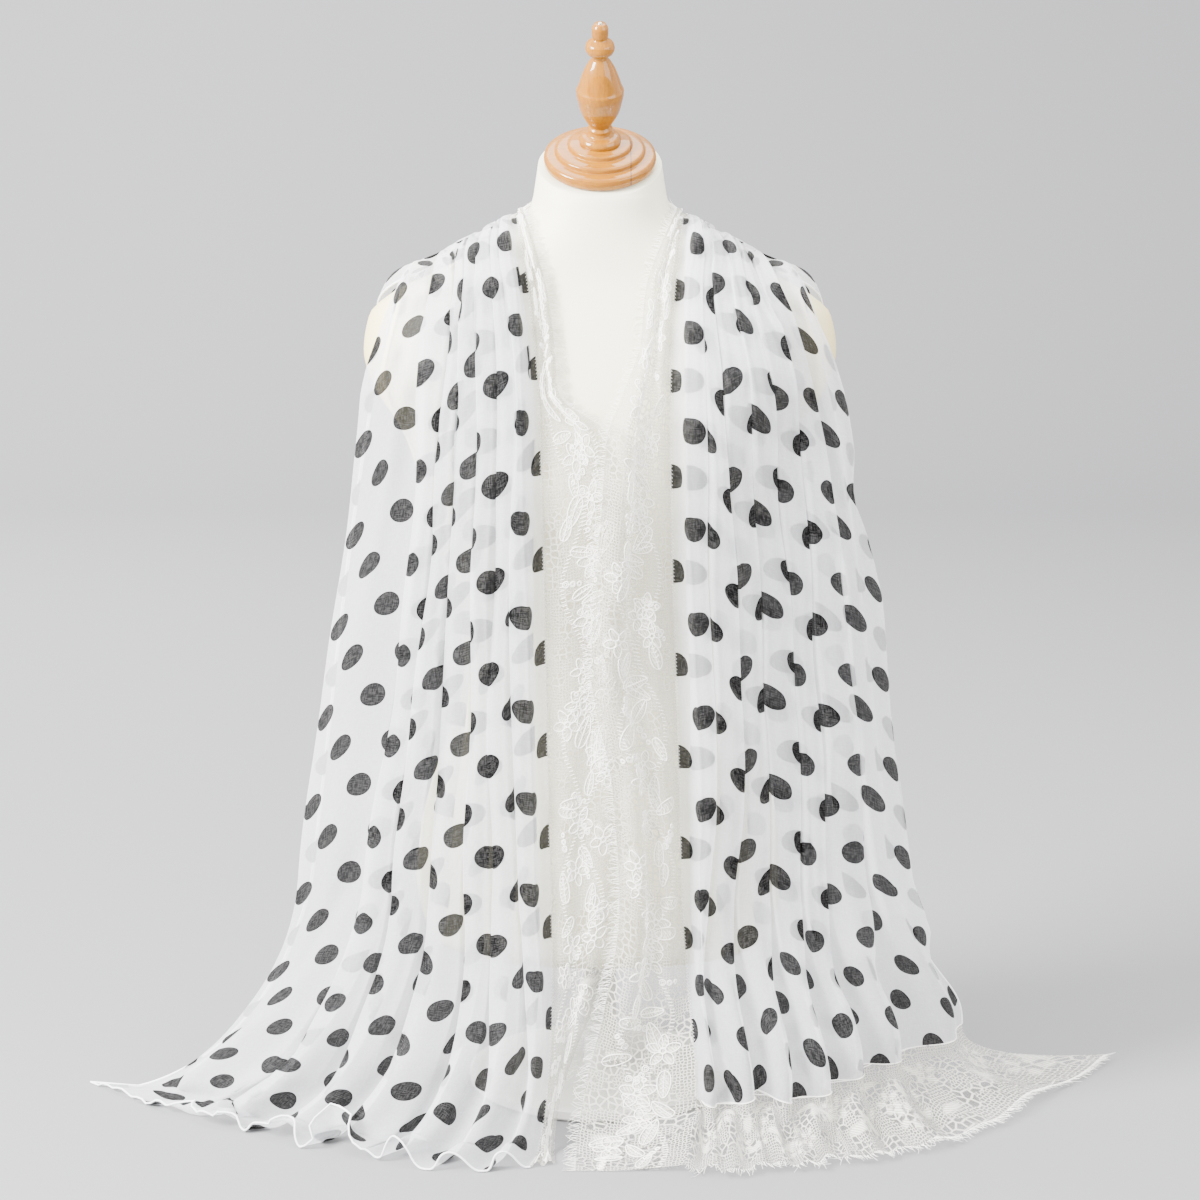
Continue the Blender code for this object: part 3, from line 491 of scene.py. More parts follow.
def makeSoftTable():  # lace only ripples: its direction swings as a sine wave
    fine = np.linspace(0, 1, 201)
    turns = np.linspace(0, 1.2, 61)
    meanCos = np.array([np.cos(turn * np.sin(2 * math.pi * fine)).mean() for turn in turns])
    wanted = np.linspace(0, 1, pleatShape["softSteps"] + 1)
    return np.array([columnsOf(fine, np.interp(-share, -meanCos,
                                               turns) * np.sin(2 * math.pi * fine), wanted)
                     for share in pleatShares])


def makePleatTable(rounded):
    # for each share of pitch to cloth: along and height in pitches, cloth used, and how
    # sharply it folds
    fine = np.linspace(0, 1, 401)
    sideTurn = ease(fine / 0.45) * ease((1 - fine) / pleatShape["edgeShare"])
    turns = np.linspace(0, 2.9, 117)
    meanCos = np.array([np.cos(turn * sideTurn).mean() for turn in turns])
    lowest = int(np.argmin(meanCos))
    roundTurns = np.linspace(0, 1.4, 71)
    roundCos = np.array([np.cos(turn * np.sin(2 * math.pi * fine)).mean() for turn in roundTurns])
    table = []
    for share in pleatShares:
        top = pleatShape["crestShare"] * share
        wanted = (share - top) / (1 - top)
        turn = np.interp(-wanted, -meanCos[:lowest + 1], turns[:lowest + 1])
        side = (1 - top) / 2
        s = np.concatenate([side * fine, side + top * fine[1:], side + top + side * fine[1:]])
        bow = pleatShape["topBow"] * min(1, turn)
        angle = np.concatenate([turn * sideTurn, bow * np.sin(2 * math.pi * fine[1:]),
                                -turn * sideTurn[::-1][1:]])
        if rounded:
            angle = np.interp(-share, -roundCos, roundTurns) * np.sin(2 * math.pi * s)
        wantedS = np.concatenate([side * sideSteps, side + top * np.linspace(0, 1,
            topSteps + 1)[1:],
                                  side + top + side * (1 - sideSteps[::-1])[1:]])
        table.append(columnsOf(s, angle, wantedS))
    return np.array(table)


pleatTable, roundTable, softTable = makePleatTable(False), makePleatTable(True), makeSoftTable()


def pleatAt(pleatTable, share):
    # along, height, cloth and bend of each of a pleat's columns, for each row
    place = np.clip((share - pleatShares[0]) / (pleatShares[-1] - pleatShares[0]), 0,
                    1) * (len(pleatShares) - 1)
    low = np.minimum(place.astype(int), len(pleatShares) - 2)
    part = (place - low)[:, None, None]
    both = pleatTable[low] * (1 - part) + pleatTable[low + 1] * part
    return both[:, 0], both[:, 1], both[:, 2], both[:, 3]


def pleatedGrid(base, flatRows, cloth, rows, limit, lean, seed, unevenness=1.0, table=pleatTable,
                rounding=None):
    normals = gridNormals(base, flatRows)
    dense = clothShape["denseColumns"]
    length = lengthAlong(base)
    row = rows * (base.shape[0] - 1)
    lines = len(cloth)
    columns = np.arange(base.shape[1])[None, :] + 0.0 * row[:, None]
    across = lengthAlong(readGrid(base, row[:, None], columns).transpose(1, 0, 2)).T
    points, uv, bends = [], [], []
    used = 0.0
    lineShift = [np.zeros(len(row))]
    for k in range(1, lines):  # valleys wander sideways a little, as hung cloth does
        sway = (wander(rows, seed + k) * 0.0030 * unevenness * ease(rows / 0.12)
                * (1 - ease((rows - 0.9) / 0.1)))
        lineShift.append(sway)
    lineShift.append(np.zeros(len(row)))
    for k, width in enumerate(cloth):
        pitch = across[:, (k + 1) * dense] - across[:, k * dense]
        along, high, used01, bend = pleatAt(table, np.minimum(pitch / width, 1.0))
        if rounding is not None:  # towards the floor the folds open into round tubes
            tube = pleatAt(roundTable, np.minimum(pitch / width, 1.0))
            along, high, bend = (a + (b - a) * rounding[:, None] for a,
                                 b in zip((along, high, bend), (tube[0], tube[1], tube[3])))
        swell = 1 + 0.16 * unevenness * wander(rows, seed + 50 + k)
        depth = pitch[:, None] * high * swell[:, None]
        peak = np.maximum(depth.max(axis=1), 1e-9)
        most = limit * (np.interp(rows, (0, 0.30, 0.55),
                                  (1.0, 0.35, 1.0)) if k == lines - 1 else 1.0)
        squeeze = np.minimum(1, most / peak)[:, None]  # what can't stand up lies evenly gathered
        along = squeeze * along + (1 - squeeze) * used01
        depth *= squeeze
        if table is pleatTable:
            waves = (np.sin(2 * math.pi * pleatShape["gathers"] * used01 + 2.4 * k)
                     * np.sin(math.pi * used01))
            depth += pleatShape["gatherHeight"] * limit[:, None] * (1 - squeeze) ** 1.5 * waves
        shift = lineShift[k][:, None] * (1 - along) + lineShift[k + 1][:, None] * along
        # alike, or crests would cut each other
        leanHere = lean * (1 + 0.07 * unevenness * wander(rows, seed + 80 + k, 3))
        if k == lines - 1:
            leanHere = np.minimum(leanHere, clothShape["hemLean"])
        wanted = across[:, k * dense, None] + along * pitch[:, None] + leanHere[:,
            None] * depth + shift
        inside = np.stack([np.interp(wanted[i], across[i], columns[i]) for i in range(len(row))])
        beyond = (wanted - np.clip(wanted, 0, across[:, -1:])) / pitch[:, None] * dense
        place = inside + beyond
        at = readGrid(base, row[:, None] + 0 * place, place)
        out = unit(readGrid(normals, row[:, None] + 0 * place, place))
        v = readGrid(length[..., None], row[:, None] + 0 * place, (k + along) * dense)[..., 0]
        keep = slice(None) if k == lines - 1 else slice(None, -1)
        points.append((at + out * depth[..., None])[:, keep])
        uv.append(np.stack([used + used01 * width, v], axis=2)[:, keep])
        bends.append((bend * squeeze)[:, keep])
        used += width
    return np.concatenate(points, axis=1), np.concatenate(uv, axis=1), np.concatenate(bends, axis=1)


def addCreases(grid, uv, creases, flatRows=()):
    # soft troughs and ridges: each runs from (u, v) to (u, v) on the flat cloth, with a height
    # and a width
    normals = gridNormals(grid, flatRows)
    lift = np.zeros(grid.shape[:2])
    for fromU, fromV, toU, toV, height, width in creases:
        along = np.array([toU - fromU, toV - fromV])
        length = np.hypot(*along)
        offset = uv - np.array([fromU, fromV])
        t = (offset @ along) / length ** 2
        bowed = 0.006 * np.sin(math.pi * np.clip(t, 0, 1) * 1.7 + 40 * fromU)
        apart = (offset[..., 0] * along[1] - offset[..., 1] * along[0]) / length - bowed
        ends = ease(t / 0.35) * ease((1 - t) / 0.25)
        lift += height * ends * np.exp(-(apart / width) ** 2)
    return grid + normals * lift[..., None]


# Chiffon

chiffonLook = {
    "clothColour": "F4F5F8",
    "dotRadius": 0.0102,
    "dotSpacing": 0.045,
    "clothCover": 0.46,  # how much of what is behind one layer it hides
    "creaseCover": 0.92,
    "dotCover": 0.96,
    "threadSpacing": 0.0009,  # real threads are 0.15 mm apart, drawn coarse enough to show
}


def chiffonMaterial():
    # polyester chiffon, plain woven from fine twisted yarn: sheer, matt with a slight sheen,
    # whiter where layers lie on each other. The dots show the weave as specks.
    material, tree = newMaterial("wovenChiffon")
    flat = addNode(tree, "ShaderNodeUVMap", uv_map="flatCloth")
    spacing = chiffonLook["dotSpacing"]
    cell = (spacing, spacing * math.sqrt(3), 1)
    scaled = addNode(tree, "ShaderNodeVectorMath", {
        0: flat.outputs[0], 1: cell}, operation="DIVIDE")
    distances = []
    for shift in ((0.0, 0.0, 0.0), (0.5, 0.5, 0.0)):
        moved = addNode(tree, "ShaderNodeVectorMath", {
            0: scaled.outputs[0], 1: shift}, operation="ADD")
        part = addNode(tree, "ShaderNodeVectorMath", {0: moved.outputs[0]}, operation="FRACTION")
        centred = addNode(tree, "ShaderNodeVectorMath", {
            0: part.outputs[0], 1: (0.5, 0.5, 0)}, operation="SUBTRACT")
        real = addNode(tree, "ShaderNodeVectorMath", {
            0: centred.outputs[0], 1: (cell[0], cell[1], 0)}, operation="MULTIPLY")
        distances.append(addNode(tree, "ShaderNodeVectorMath", {
            0: real.outputs[0]}, operation="LENGTH").outputs["Value"])
    nearest = addNode(tree, "ShaderNodeMath", {
        0: distances[0], 1: distances[1]}, operation="MINIMUM")
    radius = chiffonLook["dotRadius"]
    dot = addNode(tree, "ShaderNodeMapRange", {
        "Value": nearest.outputs[0], "From Min": radius - 0.0002,
                                               "From Max": radius + 0.0002, "To Min": 1.0,
                                               "To Max": 0.0})
    inside = addNode(tree, "ShaderNodeMapRange", {
        "Value": nearest.outputs[0], "From Min": radius - 0.0013,
                                                  "From Max": radius - 0.0006, "To Min": 1.0,
                                                  "To Max": 0.0})
    # slubs: specks stretched along each set of threads
    specks = []
    for stretch in ((1 / chiffonLook["threadSpacing"], 160, 1),
                    (160, 1 / chiffonLook["threadSpacing"], 1)):
        laid = addNode(tree, "ShaderNodeVectorMath", {
            0: flat.outputs[0], 1: stretch}, operation="MULTIPLY")
        specks.append(addNode(tree, "ShaderNodeTexNoise", {
            "Vector": laid.outputs[0], "Scale": 1.0, "Detail": 2.0}))
    weave = addNode(tree, "ShaderNodeMath", {
        0: specks[0].outputs[0], 1: specks[1].outputs[0]}, operation="MULTIPLY")
    weaveLight = addNode(tree, "ShaderNodeMapRange", {
        "Value": weave.outputs[0], "From Min": 0.20, "From Max": 0.33})
    inDot = addNode(tree, "ShaderNodeMath", {
        0: weaveLight.outputs[0], 1: inside.outputs[0]}, operation="MULTIPLY")
    dotTone = addNode(tree, "ShaderNodeMix", {
        0: inDot.outputs[0], 6: hexColour("020203"), 7: hexColour("353434")}, data_type="RGBA")
    colour = addNode(tree, "ShaderNodeMix", {
        0: dot.outputs[0], 6: hexColour(chiffonLook["clothColour"]), 7: dotTone.outputs[2]},
        data_type="RGBA")
    fold = addNode(tree, "ShaderNodeAttribute", attribute_name="fold")
    foldCover = addNode(tree, "ShaderNodeMapRange", {
        "Value": fold.outputs["Fac"], "To Min": chiffonLook["clothCover"],
                                                     "To Max": chiffonLook["creaseCover"]})
    slubCover = addNode(tree, "ShaderNodeMapRange", {
        "Value": weave.outputs[0], "From Min": 0.10, "From Max": 0.45,
                                                     "To Min": -0.06, "To Max": 0.06})
    cover = addNode(tree, "ShaderNodeMath", {
        0: foldCover.outputs[0], 1: slubCover.outputs[0]}, operation="ADD")
    coverAll = addNode(tree, "ShaderNodeMix", {
        0: dot.outputs[0], 2: cover.outputs[0], 3: chiffonLook["dotCover"]}, data_type="FLOAT")
    sheerSurface(tree, weave.outputs[0], 0.12, 0.0004, {
        "Base Color": colour.outputs[2], "Roughness": 0.62, "Sheen Weight": 0.05,
        "Sheen Roughness": 0.4,
        "Specular IOR Level": 0.12}, 0.30, coverAll.outputs[0])
    return material


chiffon = chiffonMaterial()

# creases: from (u, v) to (u, v) on the flat cloth in metres, height, width
leftCreases = (
    (0.430, 0.10, 0.385, 0.42, 0.0028, 0.008),
    (0.470, 0.08, 0.440, 0.30, -0.0024, 0.010),
    (0.455, 0.30, 0.480, 0.62, 0.0030, 0.012),
    (0.420, 0.48, 0.455, 0.72, -0.0026, 0.009),
    (0.300, 0.20, 0.325, 0.46, 0.0016, 0.006),
    (0.215, 0.34, 0.235, 0.62, -0.0014, 0.006),
    (0.140, 0.18, 0.150, 0.40, 0.0014, 0.005),
    # fine folds that fan out from the neck
    (0.392, 0.01, 0.402, 0.30, 0.0026, 0.0040),
    (0.404, 0.02, 0.420, 0.24, -0.0022, 0.0045),
    (0.420, 0.01, 0.446, 0.34, 0.0028, 0.0055),
    (0.452, 0.00, 0.476, 0.20, 0.0022, 0.0060),
    (0.330, 0.01, 0.345, 0.28, 0.0016, 0.0035),
    (0.296, 0.02, 0.288, 0.22, -0.0014, 0.0035),
    (0.262, 0.01, 0.270, 0.30, 0.0016, 0.0035),
    (0.186, 0.02, 0.194, 0.26, 0.0015, 0.0035),
    (0.118, 0.03, 0.112, 0.20, 0.0013, 0.0035),
    # tubes that stand on the floor and run out past the hem
    (0.405, 0.64, 0.412, 1.05, 0.0090, 0.0105),
    (0.362, 0.66, 0.355, 1.05, 0.0090, 0.0120),
    (0.300, 0.70, 0.292, 1.05, 0.0060, 0.0110),
    (0.232, 0.66, 0.226, 1.05, 0.0100, 0.0130),
    (0.186, 0.70, 0.190, 1.05, 0.0080, 0.0110),
    (0.135, 0.74, 0.130, 1.05, 0.0050, 0.0090),
    (0.452, 0.60, 0.458, 1.05, 0.0060, 0.0120),
    (0.483, 0.64, 0.480, 1.05, 0.0045, 0.0070),
)
rightCreases = (
    (0.450, 0.08, 0.420, 0.36, 0.0026, 0.009),
    (0.470, 0.26, 0.455, 0.58, -0.0026, 0.010),
    (0.480, 0.44, 0.470, 0.70, 0.0030, 0.008),
    (0.310, 0.22, 0.300, 0.50, 0.0016, 0.006),
    (0.225, 0.16, 0.245, 0.42, -0.0015, 0.006),
    (0.150, 0.30, 0.160, 0.60, 0.0014, 0.005),
    (0.394, 0.01, 0.410, 0.26, 0.0024, 0.0040),
    (0.416, 0.02, 0.432, 0.32, -0.0022, 0.0050),
    (0.440, 0.01, 0.462, 0.24, 0.0024, 0.0055),
    (0.336, 0.01, 0.326, 0.30, 0.0016, 0.0035),
    (0.275, 0.02, 0.282, 0.24, -0.0014, 0.0035),
    (0.200, 0.01, 0.208, 0.28, 0.0015, 0.0035),
)
neckCreases = (
    (0.100, 0.03, 0.130, 0.30, 0.0018, 0.006),
    (0.220, 0.08, 0.200, 0.34, -0.0020, 0.007),
    (0.300, 0.03, 0.330, 0.22, 0.0022, 0.006),
    (0.360, 0.14, 0.340, 0.42, 0.0024, 0.008),
    (0.420, 0.05, 0.450, 0.30, -0.0028, 0.010),
    (0.460, 0.20, 0.430, 0.46, 0.0028, 0.009),
    (0.260, 0.20, 0.280, 0.36, 0.0016, 0.004),
)


def finishCloth(grid, uv, bends, creases, flatRows):
    grid = addCreases(grid, uv, creases, flatRows)
    grid[..., 2] = np.maximum(grid[..., 2], clothShape["aboveFloor"])
    fold = ease((bends - clothShape["doubledFrom"]) / clothShape["doubledOver"])
    return grid, uv, fold


def chiffonFall(lines, creases, seed):
    base = fallBase(lines, lineHeights)
    rows = np.linspace(0, 1, clothShape["fallRows"])
    cloth = [row[-1] for row in lines[:-1]]
    limit = np.interp(rows, clothShape["crestPlaces"], clothShape["crestLimits"])
    rounding = ease((rows - clothShape["roundsFrom"]) / clothShape["roundsOver"])
    lean = np.interp(rows, clothShape["leanPlaces"], clothShape["leans"])
    grid, uv, bends = pleatedGrid(base, (0,), cloth, rows, limit, lean, seed, rounding=rounding)
    return finishCloth(grid, uv, bends, creases, (0,))


# where the left hem curls up off the floor: cloth from the seam, half its width, length rolled
# and its turn
hemCurls = (
    (0.210, 0.022, 0.026, 2.4),
    (0.262, 0.018, 0.018, 2.2),
    (0.385, 0.020, 0.020, 2.6),
    (0.330, 0.016, 0.016, 2.0),
    (0.150, 0.014, 0.012, 1.5),
    (0.437, 0.012, 0.010, 1.5),
)


def curlHem(grid, uv):
    grid = grid.copy()
    length = lengthAlong(grid)
    for middle, half, rolled, turn in hemCurls:
        window = ease(1 - np.abs(uv[-1, :, 0] - middle) / half)
        for j in np.flatnonzero(window > 0.02):
            first = int(np.searchsorted(length[:, j], length[-1, j] - rolled))
            out = unit((grid[first, j] - grid[first - 3, j]) * np.array([1, 1, 0]))
            step = np.diff(length[first:, j])
            angle = turn * window[j] * (np.cumsum(step) - step / 2) / rolled
            moves = step[:, None] * (np.cos(angle)[:, None] * out + np.sin(angle)[:,
                None] * np.array([0, 0, 1]))
            grid[first + 1:, j] = grid[first, j] + np.cumsum(moves, axis=0)
    return grid


def chiffonRoundNeck():
    base = neckBase([row[0] for row in rightLines], neckShape["backDistance"])
    rows = np.linspace(0, 1, clothShape["neckRows"])
    cloth = [row[-1] for row in rightLines[:-1]]
    low, high = clothShape["crestLimits"][0], clothShape["neckCrest"]
    limit = low + (high - low) * np.sin(math.pi * rows)
    lean = np.interp(np.abs(2 * rows - 1), (0, 1), (clothShape["neckLean"], clothShape["leans"][0]))
    grid, uv, bends = pleatedGrid(base, (0, -1), cloth, rows, limit, lean, 11)
    return finishCloth(grid, uv, bends, neckCreases, (0, -1))


# The weft runs level across the falls, so a line that starts lower starts further down the cloth.
neckGrid, neckUv, neckFold = chiffonRoundNeck()
leftGrid, leftUv, leftFold = chiffonFall(leftLines, leftCreases, 21)
leftGrid = curlHem(leftGrid, leftUv)
rightGrid, rightUv, rightFold = chiffonFall(rightLines, rightCreases, 35)
startHeight = rightGrid[0, :, 2]
atShoulder = clothShape["halfRoundNeck"] + startHeight.max() - startHeight
leftDots, rightDots, neckDots = leftUv.copy(), rightUv.copy(), neckUv.copy()


def pulled(uv, seed):  # how far each pleat has slipped down past its neighbours
    return clothShape["slip"] * wander(uv[..., 0] / 0.5, seed, 4, 1.3) * ease(uv[..., 1] / 0.15)


leftDots[..., 1] = -(leftUv[..., 1] + atShoulder + pulled(leftUv, 3))
rightDots[..., 1] = rightUv[..., 1] + atShoulder + pulled(rightUv, 9)
neckDots[..., 1] = (2 * neckUv[..., 1] / neckUv[-1, :, 1] - 1) * atShoulder

chiffonLeft = gridPiece("chiffonLeft", leftGrid, leftDots, chiffon, True,
                        {"fold": leftFold})
chiffonNeck = gridPiece("chiffonNeck", neckGrid, neckDots, chiffon, False,
                        {"fold": neckFold})
chiffonRight = gridPiece("chiffonRight", rightGrid, rightDots, chiffon, False,
                         {"fold": rightFold})
for piece, node in ((chiffonLeft, "chiffon_left"), (chiffonNeck, "chiffon_neck"),
                    (chiffonRight, "chiffon_right")):
    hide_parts(node)
print("chiffon made:", [len(p.data.polygons) for p in (chiffonLeft, chiffonNeck, chiffonRight)])


# Threads: hems, cords, lashes and stitches, which all follow a line

def threadTree():
    tree = bpy.data.node_groups.new("threadsAlongLines", "GeometryNodeTree")
    face = tree.interface
    face.new_socket("Lines", in_out="INPUT", socket_type="NodeSocketGeometry")
    face.new_socket("Thread radius", in_out="INPUT", socket_type="NodeSocketFloat")
    face.new_socket("Sides", in_out="INPUT", socket_type="NodeSocketInt")
    face.new_socket("Material", in_out="INPUT", socket_type="NodeSocketMaterial")
    face.new_socket("Threads", in_out="OUTPUT", socket_type="NodeSocketGeometry")
    given = addNode(tree, "NodeGroupInput").outputs
    curves = addNode(tree, "GeometryNodeMeshToCurve", {"Mesh": given["Lines"]})
    thick = addNode(tree, "GeometryNodeInputNamedAttribute", {"Name": "thick"}, data_type="FLOAT")
    section = addNode(tree, "GeometryNodeCurvePrimitiveCircle", {
        "Resolution": given["Sides"], "Radius": given["Thread radius"]})
    tubes = addNode(tree, "GeometryNodeCurveToMesh", {
        "Curve": curves.outputs[0], "Profile Curve": section.outputs[0],
                                                      "Scale": thick.outputs[0], "Fill Caps": True})
    real = addNode(tree, "GeometryNodeRealizeInstances", {"Geometry": tubes.outputs[0]})
    smooth = addNode(tree, "GeometryNodeSetShadeSmooth", {"Geometry": real.outputs[0]})
    finished = addNode(tree, "GeometryNodeSetMaterial", {
        "Geometry": smooth.outputs[0], "Material": given["Material"]})
    addNode(tree, "NodeGroupOutput", {"Threads": finished.outputs[0]})
    return tree


threads = threadTree()


def makeThreads(name, lines, radius, sides, material):
    # each line is its points, and its thickness at each or one for all
    points, edges, thick = [], [], []
    for line, thickness in lines:
        first = len(points)
        points += [tuple(p) for p in line]
        edges += [(first + i, first + i + 1) for i in range(len(line) - 1)]
        thick += list(np.broadcast_to(thickness, len(line)))
    mesh = bpy.data.meshes.new(name + "Lines")
    mesh.from_pydata(points, edges, [])
    mesh.attributes.new("thick", "FLOAT", "POINT").data.foreach_set("value", np.array(thick, float))
    piece = bpy.data.objects.new(name, mesh)
    bpy.context.scene.collection.objects.link(piece)
    modifier = piece.modifiers.new("threads", "NODES")
    modifier.node_group = threads
    values = {"Thread radius": radius, "Sides": sides, "Material": material}
    for item in threads.interface.items_tree:
        if item.name in values:
            modifier[item.identifier] = values[item.name]
    evaluated = piece.evaluated_get(bpy.context.evaluated_depsgraph_get())
    made = bpy.data.meshes.new_from_object(evaluated)
    piece.modifiers.clear()
    piece.data = made
    made.name = name
    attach(piece, "root")
    return piece


def mirrored(points):
    return points * np.array([-1, 1, 1])


def onFloor(points, height):
    points = points.copy()
    points[..., 2] = np.maximum(points[..., 2], height)
    return points


# Lace and lashes

laceLook = {
    # ground: painted shade, the net between the motifs is coloured greyer than the threads so the
    # motifs' relief shows
    "ground": "D3D0C5",
    "thread": "F0EEE5",
    # painted shade in the grooves between satin-stitch rows
    "paintedGrooveShade": "C4C1B3",
    "netCell": 0.0026,  # tulle has holes of about 1 mm, drawn coarse enough to show
    "netThread": 0.00034,
    "openCover": 0.06,
    "filledCover": 0.93,
}


def laceMaterial():
    # nylon net with cotton embroidery: a fine warm white mesh, open between the motifs and closely
    # filled inside them, matt, and lighter where it lies on something white. Painted shade: the net
    # between the motifs and the grooves between stitch rows are coloured greyer than the threads
    material, tree = newMaterial("embroideredNet")
    flat = addNode(tree, "ShaderNodeUVMap", uv_map="flatCloth")
    nearNet = addNode(tree, "ShaderNodeTexVoronoi", {
        "Vector": flat.outputs[0], "Scale": 1 / laceLook["netCell"], "Randomness": 0.55},
                      feature="DISTANCE_TO_EDGE", voronoi_dimensions="2D")
    edge = laceLook["netThread"] / laceLook["netCell"]
    net = addNode(tree, "ShaderNodeMapRange", {
        "Value": nearNet.outputs["Distance"], "From Min": edge * 0.7, "From Max": edge * 1.5,
                                               "To Min": 1.0, "To Max": 0.0})
    coarse = addNode(tree, "ShaderNodeTexVoronoi", {
        "Vector": flat.outputs[0], "Scale": 1 / 0.0062, "Randomness": 0.8},
                     feature="DISTANCE_TO_EDGE", voronoi_dimensions="2D")
    lattice = addNode(tree, "ShaderNodeMapRange", {
        "Value": coarse.outputs["Distance"], "From Min": 0.08, "From Max": 0.15,
                                                   "To Min": 1.0, "To Max": 0.0})
    places = addNode(tree, "ShaderNodeTexNoise", {
        "Vector": flat.outputs[0], "Scale": 46.0, "Detail": 1.5})
    isFine = addNode(tree, "ShaderNodeMapRange", {
        "Value": places.outputs[0], "From Min": 0.46, "From Max": 0.50})
    ground = addNode(tree, "ShaderNodeMix", {
        0: isFine.outputs[0], 2: lattice.outputs[0], 3: net.outputs[0]}, data_type="FLOAT")
    # satin stitch inside the motifs, in rows, with painted shade in the grooves between them
    turned = addNode(tree, "ShaderNodeMapping", {
        "Vector": flat.outputs[0], "Rotation": (0, 0, 0.6)})
    rows = addNode(tree, "ShaderNodeTexWave", {
        "Vector": turned.outputs[0], "Scale": 150.0, "Distortion": 1.6, "Detail": 1.0},
                   wave_type="BANDS")
    filled = addNode(tree, "ShaderNodeAttribute", attribute_name="filled")
    ribs = addNode(tree, "ShaderNodeMapRange", {
        "Value": rows.outputs["Fac"], "From Min": 0.0, "From Max": 0.5,
                                                "To Min": 0.72, "To Max": 1.0})
    inMotif = addNode(tree, "ShaderNodeMath", {
        0: filled.outputs["Fac"], 1: ribs.outputs[0]}, operation="MULTIPLY")
    threadsHere = addNode(tree, "ShaderNodeMath", {
        0: ground.outputs[0], 1: inMotif.outputs[0]}, operation="MAXIMUM")
    cover = addNode(tree, "ShaderNodeMapRange", {
        "Value": threadsHere.outputs[0], "To Min": laceLook["openCover"],
                                                 "To Max": laceLook["filledCover"]})
    # painted shade: each stitch row's darker side takes the groove shade colour
    tone = addNode(tree, "ShaderNodeMix", {
        0: rows.outputs["Fac"], 6: hexColour(laceLook["paintedGrooveShade"]), 7: hexColour(laceLook["thread"])},
                   data_type="RGBA")
    # painted shade: outside the motifs the net takes the greyer ground colour
    colour = addNode(tree, "ShaderNodeMix", {
        0: filled.outputs["Fac"], 6: hexColour(laceLook["ground"]), 7: tone.outputs[2]},
                     data_type="RGBA")
    sheerSurface(tree, threadsHere.outputs[0], 0.55, 0.0006, {
        "Base Color": colour.outputs[2], "Roughness": 0.75, "Sheen Weight": 0.2}, 0.25,
        cover.outputs[0])
    return material


def cordMaterial():
    # mercerised cotton, twisted: warm white with a soft satin line along each ply
    material, tree = newMaterial("mercerisedCotton")
    place = addNode(tree, "ShaderNodeTexCoord")
    plies = addNode(tree, "ShaderNodeTexNoise", {
        "Vector": place.outputs["Object"], "Scale": 1600.0, "Detail": 1.0})
    colour = addNode(tree, "ShaderNodeMix", {
        0: plies.outputs[0], 6: hexColour("F4F2E8"), 7: hexColour("FEFDF8")}, data_type="RGBA")
    bumpedSurface(tree, plies.outputs[0], 0.25, 0.0002, {
        "Base Color": colour.outputs[2], "Roughness": 0.55, "Sheen Weight": 0.3})
    return material


lace, cotton = laceMaterial(), cordMaterial()

# the free edge's x at the shoulder and at these heights, its end, and the lace's width to the
# next line
stripHeights = (0.70, 0.66, 0.62, 0.59, 0.54, 0.40, 0.30, 0.20, 0.10)
laceStrips = {
    "left": {
        "free": (0.0590, 0.0430, 0.0370, 0.0330, -0.0060, -0.0200, -0.0210, -0.0190, -0.0150,
                 0.0080,
                 0.0360, -0.2070, 0.0, 0.0),
        "sewn": (0.0640, 0.0550, 0.0500, 0.0480, 0.0475, 0.0460, 0.0430, 0.0410, 0.0400, 0.0410,
                 0.0570, -0.2140, 0.0, 0.040),
        "forward": 0.002,
        "crest": 0.004,
        "lashed": 0.90,  # the right lace covers the rest of the free edge
        "seed": 5,
    },
    "right": {
        "free": (0.0590, 0.0370, 0.0330, 0.0180, 0.0060, 0.0020, -0.0070, 0.0100, 0.0160, 0.0020,
                 -0.0200, -0.2220, 0.0, 0.0),
        "sewn": (0.0640, 0.0600, 0.0570, 0.0560, 0.0560, 0.0570, 0.0600, 0.0640, 0.0667, 0.0690,
                 0.0700, -0.2220, 0.0, 0.040),
        "forward": 0.014,
        "crest": 0.010,
        "lashed": 1.0,
        "seed": 6,
    },
}
laceShape = {
    "width": 0.08,
    "rows": 420,
    "cordRadius": 0.00052,
    "cordLift": 0.0003,
    "neckRows": 260,
}
lashShape = {
    "length": 0.0095,
    "lengths": (0.75, 1.2),  # the shortest and the longest, as shares of it
    "spacing": 0.0014,
    "spacings": (0.6, 1.5),
    "radius": 0.00026,
    "thickness": (1.3, 0.45),  # at the root and at the tip
    "points": 6,
    "lift": 0.22,  # off the lace's face, for a unit outwards
    "lean": 0.28,
    "curl": 0.35,
    "droop": 0.25,
    "twist": 0.15,
    "aboveFloor": 0.0006,
}


def atShares(points, shares):
    own = lengthAlong(points)
    return np.stack([np.interp(shares, own / own[-1], points[:, i]) for i in range(3)], axis=1)


def sewTo(grid, seam):  # moves a strip so that its last column lies on the seam
    share = (np.arange(grid.shape[1]) / (grid.shape[1] - 1)) ** 2
    grid = grid + (seam - grid[:, -1])[:, None, :] * share[None, :, None]
    return onFloor(grid, 0.0005)


def laceStrip(free, sewn, forward, crest, lashed, seed, seam):
    middle = tuple((a + b) / 2 for a, b in zip(free, sewn))
    base = fallBase((free, middle, sewn), stripHeights, forward)
    rows = np.linspace(0, 1, laceShape["rows"])
    limit = np.interp(rows, (0, 0.10), (clothShape["crestLimits"][0], crest))
    grid, uv, bends = pleatedGrid(base, (0,), (sewn[-1], sewn[-1]), rows, limit, 0 * rows, seed,
                                  1.0, softTable)
    return sewTo(grid, atShares(seam, rows)), uv


